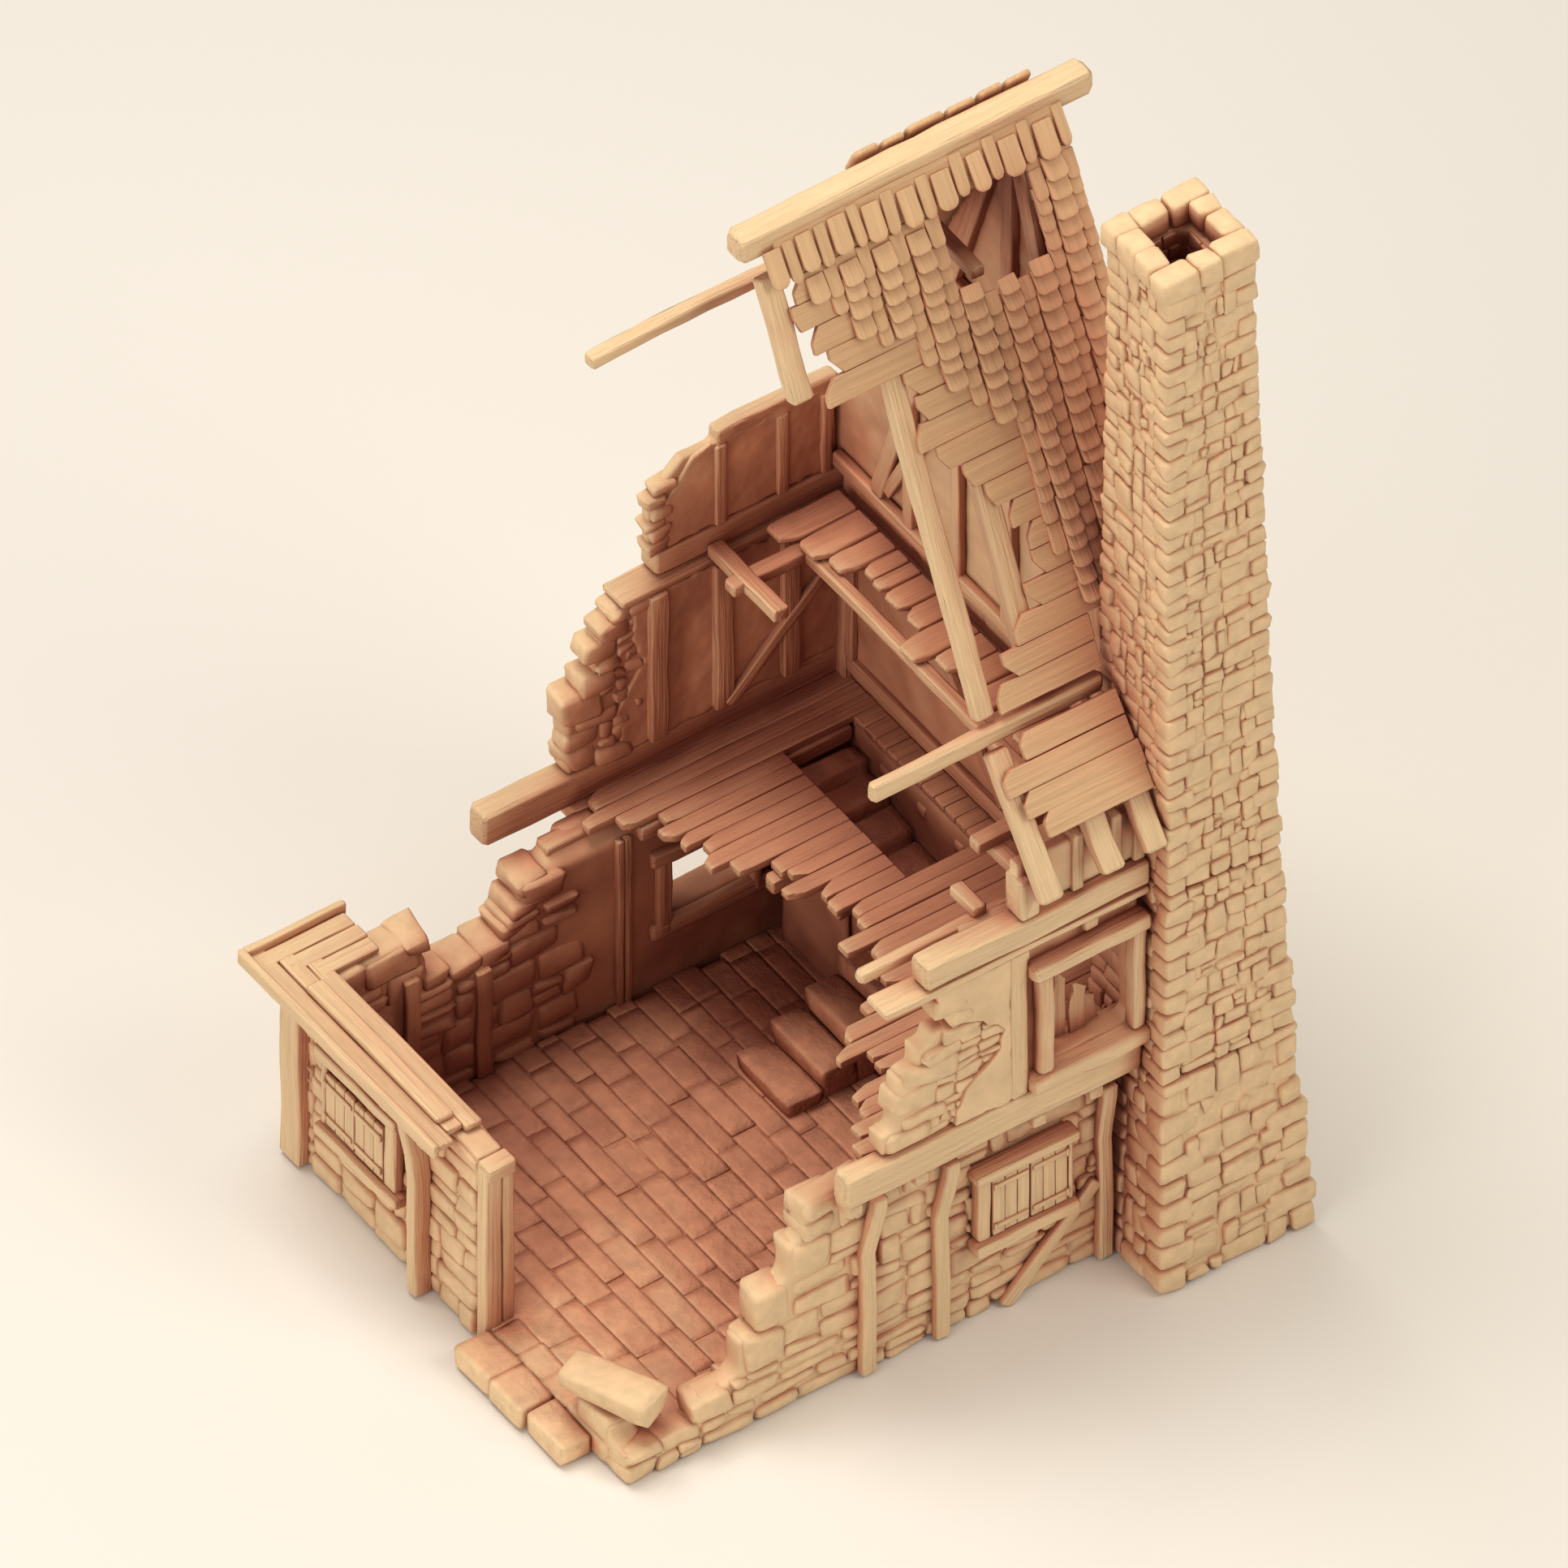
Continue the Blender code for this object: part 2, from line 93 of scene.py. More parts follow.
def castResin(name, pattern):
    material = bpy.data.materials.new(name)
    material.use_nodes = True
    tree = material.node_tree
    shader = tree.nodes["Principled BSDF"]
    shader.inputs["Roughness"].default_value = resin["roughness"]
    shader.inputs["IOR"].default_value = resin["ior"]
    shader.inputs["Specular IOR Level"].default_value = resin["specular"]
    # painted shade: the ramp darkens the colour from open to deep as a point's openness to the sky falls
    room = addNode(tree, "ShaderNodeAttribute", {"attribute_name": "sky"})
    paintedSkyShade = addNode(tree, "ShaderNodeValToRGB", links={"Fac": room.outputs["Fac"]})
    stops = paintedSkyShade.color_ramp.elements
    deepShadeAt, shadeAt, openAt = resin["openness"]
    stops[0].position, stops[0].color = deepShadeAt, toLinear(resin["deep"])
    stops[1].position, stops[1].color = openAt, toLinear(pattern.get("open", resin["open"]))
    stops.new(shadeAt).color = toLinear(resin["shade"])
    # painted crevice shade: a short-reach ambient occlusion mixes the crevice colour in where surfaces close in
    occlusionProbe = addNode(tree, "ShaderNodeAmbientOcclusion", {"samples": 6}, values={"Distance": resin["creviceShadeReach"]})
    creviceShadeAmount = addNode(tree, "ShaderNodeMapRange", links={"Value": occlusionProbe.outputs["AO"]},
                  values={"From Min": 0.3, "From Max": 0.92, "To Min": resin["creviceShadeShare"], "To Max": 0.0})
    withCreviceShade = addNode(tree, "ShaderNodeMix", {"data_type": "RGBA"},
                      {0: creviceShadeAmount.outputs["Result"], 6: paintedSkyShade.outputs["Color"]})
    withCreviceShade.inputs[7].default_value = toLinear(resin["shadeInCrevices"])
    if pattern["kind"] == "wood":
        where = addNode(tree, "ShaderNodeAttribute", {"attribute_name": "grain"}).outputs["Vector"]
    else:
        where = addNode(tree, "ShaderNodeTexCoord").outputs["Object"]
    stretch = addNode(tree, "ShaderNodeMapping", links={"Vector": where},
                      values={"Scale": (pattern.get("stretch", 1), 1, 1)})
    coarse = addNode(tree, "ShaderNodeTexNoise", links={"Vector": stretch.outputs["Vector"]},
                     values={"Scale": 1000 / pattern["coarse"], "Detail": 3, "Roughness": 0.55})
    fine = addNode(tree, "ShaderNodeTexNoise", links={"Vector": stretch.outputs["Vector"]},
                   values={"Scale": 1000 / pattern["fine"], "Detail": 2, "Roughness": 0.6})
    dim, bright = pattern.get("mottle", resin["mottle"])
    mottle = addNode(tree, "ShaderNodeMapRange", links={"Value": coarse.outputs["Fac"]},
                     values={"From Min": 0.3, "From Max": 0.7, "To Min": dim, "To Max": bright})
    tinted = addNode(tree, "ShaderNodeVectorMath", {"operation": "SCALE"},
                     {0: withCreviceShade.outputs[2], "Scale": mottle.outputs["Result"]})
    tree.links.new(tinted.outputs["Vector"], shader.inputs["Base Color"])
    relief = addNode(tree, "ShaderNodeBump", links={"Height": coarse.outputs["Fac"]},
                     values={"Strength": pattern["relief"], "Distance": pattern["depth"] / 1000})
    tooth = addNode(tree, "ShaderNodeBump", links={"Height": fine.outputs["Fac"], "Normal": relief.outputs["Normal"]},
                    values={"Strength": pattern["relief"] * 0.7, "Distance": pattern["depth"] / 2500})
    tree.links.new(tooth.outputs["Normal"], shader.inputs["Normal"])
    return material


# Coarse and fine are the real width of a mark, drawn no finer than it can show.
rubbleResin = castResin("castResinRubble", {  # pitted faces of hand-laid stones
    "kind": "stone", "coarse": 4.0, "fine": 1.1, "relief": 0.5, "depth": 0.8})
timberResin = castResin("castResinTimber", {  # combed grain, long along each stick
    "kind": "wood", "stretch": 0.04, "coarse": 1.3, "fine": 0.6, "relief": 0.95, "depth": 0.9})
renderResin = castResin("castResinRender", {  # trowelled wall panels
    "kind": "stone", "coarse": 9.0, "fine": 1.4, "relief": 0.35, "depth": 0.8})
flagResin = castResin("castResinFlagstone", {  # scuffed slabs, lighter in patches
    "kind": "stone", "coarse": 5.0, "fine": 1.2, "relief": 0.75, "depth": 1.3, "mottle": (0.92, 1.2)})
shadedRoofResin = castResin("castResinShingleShaded", {  # painted shade: the slope's open colour is a little browner than the walls'
    "kind": "wood", "stretch": 0.05, "coarse": 1.6, "fine": 0.8, "relief": 0.6, "depth": 0.6, "open": "#D2AE86"})
print("finishes ready")

# What a piece is finished in: its material and its slot.
stone = (rubbleResin, "printed_stone")
flag = (flagResin, "printed_stone")
innerRender = (renderResin, "printed_stone")
timber = (timberResin, "printed_timber")
plaster = (renderResin, "printed_plaster")
boarding = (shadedRoofResin, "printed_timber")
shingling = (shadedRoofResin, "printed_shingle")


def skyDirections():
    rays = []
    for lift, count in ((-1.3, 1), (-0.85, 4), (-0.4, 6), (0.02, 8), (0.45, 8), (0.85, 5), (1.35, 1)):
        for k in range(count):
            turn = 2 * math.pi * (k + lift) / count
            rays.append((math.cos(turn) * math.cos(lift), math.sin(turn) * math.cos(lift), math.sin(lift)))
    return np.array(rays)


class Shelter:
    # looks from points of a coarse grid to the sky past the plain solids, and blends between the points
    cell = 0.0045
    stand = 0.0035  # how far off a face its openness is taken
    reach = 0.3
    spill = 0.04  # what every ray gives a face, whichever way it looks
    leastKnown = 0.02
    buriedValue = 0.3

    def __init__(self):
        self.rays = skyDirections()
        self.vectors = [Vector(ray) for ray in self.rays]
        points, faces = [], []
        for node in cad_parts.values():
            faces += [[corner + len(points) for corner in face.vertices] for face in node.data.polygons]
            points += [vertex.co.copy() for vertex in node.data.vertices]
        self.solid = BVHTree.FromPolygons(points, faces)
        self.known = {}

    def seen(self, key):
        if key not in self.known:
            at = Vector(key) * self.cell
            hit = self.solid.ray_cast(at, self.vectors[-1])
            if hit[0] is not None and hit[1].dot(self.vectors[-1]) > 0:
                self.known[key] = None  # inside a solid
            else:
                self.known[key] = [self.solid.ray_cast(at, ray, self.reach)[0] is None for ray in self.vectors]
        return self.known[key]

    def openness(self, points, normals):
        at = (points + normals * self.stand) / self.cell
        base = np.floor(at).astype(int)
        share = at - base
        total = np.zeros((len(points), len(self.rays)))
        weight = np.zeros(len(points))
        for corner in range(8):
            step = np.array([corner & 1, corner >> 1 & 1, corner >> 2 & 1])
            near = np.prod(np.where(step, share, 1 - share), axis=1)
            unique, index = np.unique(base + step, axis=0, return_inverse=True)
            views = [self.seen(tuple(int(v) for v in key)) for key in unique]
            clear = np.array([view is not None for view in views])
            table = np.array([view if view is not None else [False] * len(self.rays) for view in views], float)
            index = index.reshape(-1)
            use = near * clear[index]
            total += table[index] * use[:, None]
            weight += use
        facing = np.clip(normals @ self.rays.T, 0, None) + self.spill
        sky = (total * facing).sum(axis=1) / facing.sum(axis=1)
        return np.where(weight > self.leastKnown, sky / np.maximum(weight, self.leastKnown), self.buriedValue)


shelter = Shelter()


def settle(mesh):
    # writes how open each point is to the sky onto a finished mesh
    count = len(mesh.vertices)
    points, normals = np.empty(count * 3), np.empty(count * 3)
    mesh.vertices.foreach_get("co", points)
    mesh.vertices.foreach_get("normal", normals)
    sky = shelter.openness(points.reshape(-1, 3), normals.reshape(-1, 3))
    layer = mesh.attributes.new("sky", "FLOAT", "POINT")
    layer.data.foreach_set("value", sky.astype(np.float32))


def blockTemplate():
    # a cube's skin as a grid, closer near its edges so that they round well
    marks = np.array([-1, -0.72, 0, 0.72, 1.0])
    found = {}
    faces = []
    for axis in range(3):
        a, b = (axis + 1) % 3, (axis + 2) % 3
        for side in (-1.0, 1.0):
            for i in range(4):
                for j in range(4):
                    ring = []
                    for di, dj in ((0, 0), (1, 0), (1, 1), (0, 1)):
                        point = [0, 0, 0]
                        point[axis], point[a], point[b] = side, marks[i + di], marks[j + dj]
                        ring.append(found.setdefault(tuple(point), len(found)))
                    faces.append(ring if side > 0 else ring[::-1])
    return np.array(list(found)), faces


blockPoints, blockFaces = blockTemplate()


def rounded(width, depth, radius):
    # a stick's section: a rectangle with its corners cut twice
    w, d = width / 2, depth / 2
    r = min(radius, w * 0.8, d * 0.8)
    c = r * 0.3
    quarter = [(w, d - r), (w - c, d - c), (w - r, d)]
    ring = []
    for sx, sy, order in ((1, 1, 1), (-1, 1, -1), (-1, -1, 1), (1, -1, -1)):
        ring += [(x * sx, y * sy) for x, y in quarter[::order]]
    return np.array(ring)


def alongX(points):
    return points


def alongY(points):
    return points[:, [1, 0, 2]] * 1.0


def rubbleCells(rng, a0, a1, z0, z1, course, lengths, cut):
    # irregular rubble as (start, end, bottom, top): bands of one or two rows, some stones cut again
    cells = []
    z = z0
    while z < z1 - 0.6:
        band = min(course * rng.uniform(1.7, 2.3), z1 - z)
        if z1 - z - band < course * 0.8:
            band = z1 - z
        at = a0
        while at < a1 - 0.6:
            long = rng.uniform(*lengths)
            if a1 - at - long < lengths[0] * 0.7:
                long = a1 - at
            if band < course * 1.4:
                cuts = [0, 1]
            else:
                cuts = [0, rng.choice((0.32, 0.46, 0.52, 0.66)) + rng.uniform(-0.04, 0.04), 1]
            for low, high in zip(cuts, cuts[1:]):
                b0, b1 = z + band * low, z + band * high
                middle = at + long * rng.uniform(0.3, 0.7)
                if high - low > 0.4 and rng.random() < cut * 0.35:
                    half = (b0 + b1) / 2
                    cells += [(at, middle, b0, b1), (middle, at + long, b0, half), (middle, at + long, half, b1)]
                elif long > lengths[0] * 1.25 and rng.random() < cut:
                    cells += [(at, middle, b0, b1), (middle, at + long, b0, b1)]
                else:
                    cells.append((at, at + long, b0, b1))
            at += long
        z += band
    return cells


class Piece:
    # gathers stones and sticks, then casts them as one named mesh
    def __init__(self, rng):
        self.rng = rng
        self.points, self.faces, self.grain = [], [], []
        self.count = 0

    def pour(self, points, faces, grain=None):
        self.points.append(points)
        self.grain.append(points if grain is None else grain)
        self.faces += [[corner + self.count for corner in face] for face in faces]
        self.count += len(points)

    def block(self, low, high, radius=1.0, lump=0.5, place=None):
        # a worn stone: round edges, its eight corners pushed about a little
        low, high = np.array(low, float), np.array(high, float)
        half = (high - low) / 2
        radius = min(radius, *(half * 0.95))
        points = blockPoints * half
        inner = np.clip(points, -(half - radius), half - radius)
        out = points - inner
        points = inner + out * (radius / np.linalg.norm(out, axis=1))[:, None]
        share = (blockPoints + 1) / 2
        for corner in range(8):
            sign = np.array([corner & 1, corner >> 1 & 1, corner >> 2 & 1])
            weight = np.prod(np.where(sign, share, 1 - share), axis=1)
            points = points + weight[:, None] * self.rng.uniform(-lump, lump, 3)
        points = points + self.rng.normal(0, lump * 0.1, points.shape) + (low + high) / 2
        turned = [face[::-1] for face in blockFaces] if place == alongY else blockFaces
        self.pour(place(points) if place else points, turned)

    def blocks(self, boxes, radius, lump):
        for low, high in boxes:
            self.block(low, high, radius, lump)

    def stick(self, path, up, width, depth, radius=0.6, wobble=0.15, shape=None, step=7.0):
        # sweeps a section down a path; shape is (share of the length, width factor, depth factor, sideways shift)
        rng = self.rng
        path = [np.array(p, float) for p in path]
        lengths = [0.0]
        for a, b in zip(path, path[1:]):
            lengths.append(lengths[-1] + np.linalg.norm(b - a))
        total = lengths[-1]
        end = min(radius, total * 0.2) / total
        marks = {0.0, end, 1 - end, 1.0}
        marks |= set(np.linspace(0, 1, max(2, int(total / step) + 1)).round(4))
        marks |= {length / total for length in lengths}
        shape = shape or [(0, 1, 1, 0)]
        marks |= {row[0] for row in shape}
        marks = sorted(marks)
        marks = [m for i, m in enumerate(marks) if i == 0 or (m - marks[i - 1]) * total > 0.15]
        up = np.array(up, float)
        section = rounded(width, depth, radius)
        offset = rng.uniform(0, 400, 3)
        points, grain = [], []
        bow = rng.uniform(-wobble, wobble, 4)
        shares = [row[0] for row in shape]
        for mark in marks:
            at = mark * total
            k = max(0, min(len(path) - 2, int(np.searchsorted(lengths, at, side="right")) - 1))
            run = path[k + 1] - path[k]
            along = run / np.linalg.norm(run)
            centre = path[k] + along * (at - lengths[k])
            side = np.cross(along, up)
            side /= np.linalg.norm(side)
            top = np.cross(side, along)
            wide, deep, shift = (float(np.interp(mark, shares, [row[i] for row in shape])) for i in (1, 2, 3))
            if mark <= 0 or mark >= 1:  # the ends are drawn in, so that they look worn
                wide *= 1 - 1.4 * min(radius, width * 0.3) / width
                deep *= 1 - 1.4 * min(radius, depth * 0.3) / depth
            wave = bow[0] * math.sin(4 * mark + bow[1] * 30) + bow[2] * math.sin(9 * mark + bow[3] * 30)
            ring = section * (wide, deep) + rng.normal(0, wobble * 0.25, section.shape)
            ring[:, 0] += shift * width + wave
            points.append(centre + ring[:, :1] * side + ring[:, 1:] * top)
            grain.append(np.column_stack([np.full(len(ring), at), ring[:, 0], ring[:, 1]]) + offset)
        n = len(section)
        faces = []
        for i in range(len(marks) - 1):
            for j in range(n):
                faces.append([i * n + j, (i + 1) * n + j, (i + 1) * n + (j + 1) % n, i * n + (j + 1) % n])
        last = (len(marks) - 1) * n
        faces += [list(range(n)), list(range(last, last + n))[::-1]]
        self.pour(np.concatenate(points), faces, np.concatenate(grain))

    def beam(self, low, high, radius=0.8, wobble=0.2):
        # a stick that fills a box, running along its longest side
        low, high = np.array(low, float), np.array(high, float)
        size = high - low
        axis = int(np.argmax(size))
        start, end = (low + high) / 2, (low + high) / 2
        start[axis], end[axis] = low[axis], high[axis]
        up = (0, 0, 1) if axis != 2 else (0, 1, 0)
        sideways = (1, 0, 0)[axis]
        upright = (2, 2, 1)[axis]
        self.stick([start, end], up, size[sideways], size[upright], radius, wobble)

    def beams(self, boxes, radius, wobble):
        for low, high in boxes:
            self.beam(low, high, radius, wobble)

    def rubble(self, place, a0, a1, z0, z1, course, lengths, depths, holes=(), radius=1.2, lump=0.5):
        # place turns (along, through, up) into x, y, z
        for start, end, b0, b1 in rubbleCells(self.rng, a0, a1, z0, z1, course, lengths, 0.2):
            runs = [(start, end)]
            for h0, h1, bottom, top in holes:
                if bottom < (b0 + b1) / 2 < top:
                    runs = [run for p0, p1 in runs for run in ((p0, min(p1, h0)), (max(p0, h1), p1))]
            for p0, p1 in runs:
                if p1 - p0 > 0.9:
                    out = self.rng.uniform(-0.2, 0.5)
                    self.block((p0 + 0.05, depths[0] - out, b0 + 0.05), (p1 - 0.05, depths[1] + out, b1 - 0.05),
                               radius, lump, place)

    def cast(self, name, finish, body, nodes=()):
        material, slotName = finish
        points = (np.concatenate(self.points) + (cornerX, cornerY, 0)) / 1000
        mesh = bpy.data.meshes.new(name)
        mesh.from_pydata(points.tolist(), [], self.faces)
        mesh.shade_smooth()
        grain = mesh.attributes.new("grain", "FLOAT_VECTOR", "POINT")
        grain.data.foreach_set("vector", (np.concatenate(self.grain) / 1000).astype(np.float32).ravel())
        mesh.materials.append(material)
        settle(mesh)
        piece = bpy.data.objects.new(name, mesh)
        link(piece)
        if material in (timberResin, shadedRoofResin):
            even = piece.modifiers.new("even", "WEIGHTED_NORMAL")
            even.weight = 90
        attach(piece, body)
        if nodes:
            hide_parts(*nodes)


def steps(table):
    # the end of a broken wall as (height, position) steps
    def at(z):
        value = table[0][1]
        for height, position in table:
            if z >= height:
                value = position
        return value
    return at


def edgeAt(table, value):
    # reads a ragged edge given as (where, how far) rows
    return float(np.interp(value, [row[0] for row in table], [row[1] for row in table]))


def wear(piece, finish, body, voxel, lump, sink):
    # remeshes a plain solid so that its edges are worn round and its faces uneven
    material, slotName = finish
    piece.data.materials.clear()
    piece.data.materials.append(material)
    skin = piece.modifiers.new("skin", "REMESH")
    skin.mode = "VOXEL"
    skin.voxel_size = voxel / 1000
    skin.use_smooth_shade = True
    worn = piece.modifiers.new("worn", "SMOOTH")
    worn.iterations = 3
    cloud = bpy.data.textures.new(piece.name, "CLOUDS")
    cloud.noise_scale = 0.009
    uneven = piece.modifiers.new("uneven", "DISPLACE")
    uneven.texture = cloud
    uneven.texture_coords = "LOCAL"
    uneven.strength = lump / 1000
    uneven.mid_level = sink
    graph = bpy.context.evaluated_depsgraph_get()
    worked = bpy.data.meshes.new_from_object(piece.evaluated_get(graph))
    piece.modifiers.clear()
    piece.data = worked
    worked.shade_smooth()
    settle(worked)
    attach(piece, body)


def trowelled(node, finish, body, voxel=1.1, lump=0.7, sink=0.5):
    piece = bpy.data.objects.new(node + "_skin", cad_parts[node].data.copy())
    link(piece)
    wear(piece, finish, body, voxel, lump, sink)
    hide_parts(node)


def plasterSheet(name, outline, near, far, body):
    # a coat of plaster with a torn rim: outline holds (x, z), near and far are its two y faces
    rng = np.random.default_rng(len(name))
    rim = []
    for (x0, z0), (x1, z1) in zip(outline, outline[1:] + outline[:1]):
        cuts = max(1, int(math.hypot(x1 - x0, z1 - z0) / 2.5))
        for k in range(cuts):
            rim.append((x0 + (x1 - x0) * k / cuts + rng.uniform(-0.7, 0.7),
                        z0 + (z1 - z0) * k / cuts + rng.uniform(-0.7, 0.7)))
    count = len(rim)
    points = [(x + cornerX, y + cornerY, z) for y in (near, far) for x, z in rim]
    faces = [list(range(count)), list(range(2 * count - 1, count - 1, -1))]
    faces += [[(k + 1) % count, k, count + k, count + (k + 1) % count] for k in range(count)]
    mesh = bpy.data.meshes.new(name)
    mesh.from_pydata([[c / 1000 for c in point] for point in points], [], faces)
    piece = bpy.data.objects.new(name, mesh)
    link(piece)
    wear(piece, plaster, body, 0.6, 0.8, 0.5)


ground, upper, top = "ground_storey", "upper_storey", "roof_storey"

frontWall = {
    "courses": (4.8, 4.2, 8, 12.5, 12.1, 11.4, 6.5, 6.7),
    "brokenEnd": [(0, 0), (9, 22), (17, 34), (29.5, 41), (41.6, 49), (53, 53)],
    "shift": [(0, 0), (9, -2.5), (17, 1.5), (29.5, -2), (41.6, 1), (53, 0)],
    "lengths": (10, 20),
    "through": (-0.6, 8.6),
}


def frontRubble(rng):
    high = span("wall_front")[1]
    window0, window1 = span("front_window_frame")
    leftEnd, shift = steps(frontWall["brokenEnd"]), steps(frontWall["shift"])
    piece = Piece(rng)
    z = 0.0
    for tall in frontWall["courses"]:
        a0 = leftEnd(z + tall / 2) + shift(z + tall / 2)
        first = a0 + rng.uniform(9, 13)
        piece.block((a0, -0.9, z + 0.1), (first, 8.9, z + tall - 0.1), 1.9, 1.0)
        piece.rubble(alongX, first, high[0], z, z + tall, tall * 0.5 if tall > 7 else tall, frontWall["lengths"],
                     frontWall["through"], [(window0[0] + 2, window1[0] - 2, window0[2] + 2, window1[2] - 2)], 1.5, 0.8)
        z += tall
    piece.block((-0.8, 7.5, 0), (8.4, 26, 8), 1.4, 0.7)
    piece.block((-0.6, 8.2, 7.6), (9, 21, 14.6), 1.6, 0.9)
    piece.cast("front_rubble", stone, ground)


def facadeRubble(rng):
    low, high = span("wall_left")
    window0, window1 = span("facade_window_frame")
    piece = Piece(rng)
    piece.rubble(alongY, low[1], high[1], 0, 60.5, 6.0, (9, 18), (-0.7, 8.5),
                 [(window0[1] + 3, window1[1] - 3, window0[2] + 2, window1[2] - 2)], 1.4, 0.7)
    piece.cast("facade_rubble", stone, ground)


backWall = {
    "top": [(0, 61.5), (33, 61.7), (34.5, 46), (41, 43.5), (56, 44.5), (61, 48), (63, 57), (64.5, 61.5)],  # (x, z)
    "course": 8.8,
    "window": (104.5, 133.5, 24, 48),
    "crest": ((27.6, 57, 8), (33, 42.6, 8), (40.5, 40.8, 9.5), (49.6, 41.6, 9), (57, 46, 8), (60, 51.5, 8),
              (62, 57.5, 9)),  # x, z, length
}


def backRubble(rng):
    piece = Piece(rng)
    course = backWall["course"]
    for layer in range(7):
        z0, z1 = layer * course, (layer + 1) * course
        x = -0.4
        while x < 92:
            long = rng.uniform(9, 17)
            crest = edgeAt(backWall["top"], x + long / 2)
            limit = rng.uniform(74, 90) if layer < 4 else rng.uniform(68, 82)
            if (z0 + z1) / 2 < crest + 2 and x + long < limit + 6:
                parts = 2 if rng.random() < 0.4 else 1
                for part in range(parts):
                    b0 = z0 + course * part / parts
                    b1 = z0 + course * (part + 1) / parts
                    proud = rng.uniform(0.3, 1.2)
                    piece.block((x + 0.2, 134.7 - proud, b0 + 0.2), (x + long - 0.2, 145.6, min(b1, crest + 3) - 0.2),
                                1.5, 0.9)
            x += long
    piece.rubble(alongX, 78, 168.4, 0, 65.8, 6.2, (10, 18), (141, 145.4), [backWall["window"]], 1.4, 0.8)
    piece.rubble(alongY, 15.2, 145.4, 0, 66, 6.2, (10, 18), (164, 168.3), (), 1.4, 0.8)  # outside of the gable
    piece.beam((86, 144.6, 61.4), (175, 153.2, 66.4), 0.8, 0.3)
    for y in range(20, 132, 16):
        piece.beam((160, y, 57.2), (175, y + 4.2, 61.6), 0.6, 0.2)  # joist ends
    for x, z, long in backWall["crest"]:
        piece.block((x, 134, z), (x + long, 145.5, z + 5), 1.4, 0.9)
    piece.cast("back_rubble", stone, ground)


flags = {"long": (11, 25), "wide": 7.4, "sunk": 2.5, "start": 8.2, "thresholds": (14.3, 26, 37, 48)}


def floorFlags(rng):
    high = span("base_floor")[1]
    piece = Piece(rng)
    x = flags["start"]
    while x < high[0] - 0.5:
        wide = min(flags["wide"] * rng.uniform(0.8, 1.3), high[0] - x)
        y0 = flags["start"] if x < 140 else 15.6
        y = y0 - rng.uniform(0, 6)
        while y < high[1] - 0.5:
            long = rng.uniform(*flags["long"])
            start, end = max(y, y0), min(y + long, high[1])
            if end - start > 2:
                level = high[2] + rng.uniform(-0.1, 0.4)
                piece.block((x + 0.02, start + 0.02, high[2] - flags["sunk"]), (x + wide - 0.02, end - 0.02, level),
                            0.42, 0.18)
            y += long
        x += wide
    for y in flags["thresholds"]:
        piece.block((0.2, y, 2.5), (8.3, min(y + 11.4, 58.4), 5.8), 0.6, 0.3)
    piece.block((0.4, 58.2, 2), (9.4, 63, 5.7), 0.5, 0.2)
    piece.cast("floor_flags", flag, ground)


def doorSlabs(rng):
    for node, cuts in (("doorstep_long", ((30.2, 44), (44, 58.6))), ("doorstep_short", ((13.8, 29.8),))):
        low, high = span(node)
        piece = Piece(rng)
        for y0, y1 in cuts:
            piece.block((low[0], y0, 0), (-0.3, y1, high[2]), 0.9, 0.35)
        piece.cast(node + "_slab", flag, ground, [node])


fallenBlock = {"turn": math.radians(-66.8), "tilt": math.radians(4), "half": np.array([13.3, 5.5, 3.5])}


def fallenStone(rng):
    low, high = span("fallen_block")
    turn, tilt = fallenBlock["turn"], fallenBlock["tilt"]

    def fallen(points):
        y = points[:, 1] * math.cos(tilt) - points[:, 2] * math.sin(tilt)
        z = points[:, 1] * math.sin(tilt) + points[:, 2] * math.cos(tilt)
        x = points[:, 0] * math.cos(turn) - y * math.sin(turn)
        y = points[:, 0] * math.sin(turn) + y * math.cos(turn)
        return np.column_stack([x, y, z]) + (low + high) / 2

    piece = Piece(rng)
    piece.block(-fallenBlock["half"], fallenBlock["half"], 1.8, 0.9, fallen)
    piece.cast("fallen_stone", stone, ground, ["fallen_block"])


stair = {
    "lower": [(102.7, 10), (112.7, 15.9), (122.7, 21.8), (132.7, 27.7)],  # (x, top)
    "upper": ((83, 43, 93.5), (93, 48, 103.8), (103.3, 52.6, 114.4), (114, 57, 123.4), (123, 61, 130)),  # (y, top, end)
}


def stairSteps(rng):
    piece = Piece(rng)
    for x, level in stair["lower"]:
        landing = x > 130
        end = 139 if landing else x + 10.5
        piece.block((x, 76.8, level - 6.2), (end + (3 if landing else 0), 99.8, level), 1.2, 0.6)
        if level > 12:
            piece.block((x + 1, 77.2, 5.6), (end + 1, 99.4, level - 5.6), 1.2, 0.4)
    piece.block((142.6, 77, 25), (152, 83, 33.8), 1, 0.4)
    piece.block((151, 77, 25), (159.6, 83, 38.2), 1, 0.4)
    piece.cast("stair_lower_steps", flag, ground, ["stair_lower"])
    piece = Piece(rng)
    for y, level, end in stair["upper"]:
        piece.block((139.4, y, 6), (159.6, end, level), 1.2, 0.6)
    piece.cast("stair_upper_steps", flag, ground, ["stair_upper"])


def groundStone():
    rng = np.random.default_rng(11)
    frontRubble(rng)
    facadeRubble(rng)
    backRubble(rng)
    floorFlags(rng)
    for node in ("base_floor", "wall_front", "wall_left", "wall_back", "wall_gable", "stair_partition"):
        trowelled(node, innerRender, ground, 1.5, 0.7, 1.0)
    doorSlabs(rng)
    fallenStone(rng)
    stairSteps(rng)


windows = {
    "front": {"along": 0, "hole": (107, 130.1), "sillTop": 28.3, "headBottom": 49.3, "jambs": (103.2, 131.6)},
    "facade": {"along": 1, "hole": (100, 125), "sillTop": 25.0, "headBottom": 48.5, "jambs": (95, 126.8)},
    "jambBack": 1.8,  # how far the jambs stand back, so that an open shutter clears them
}


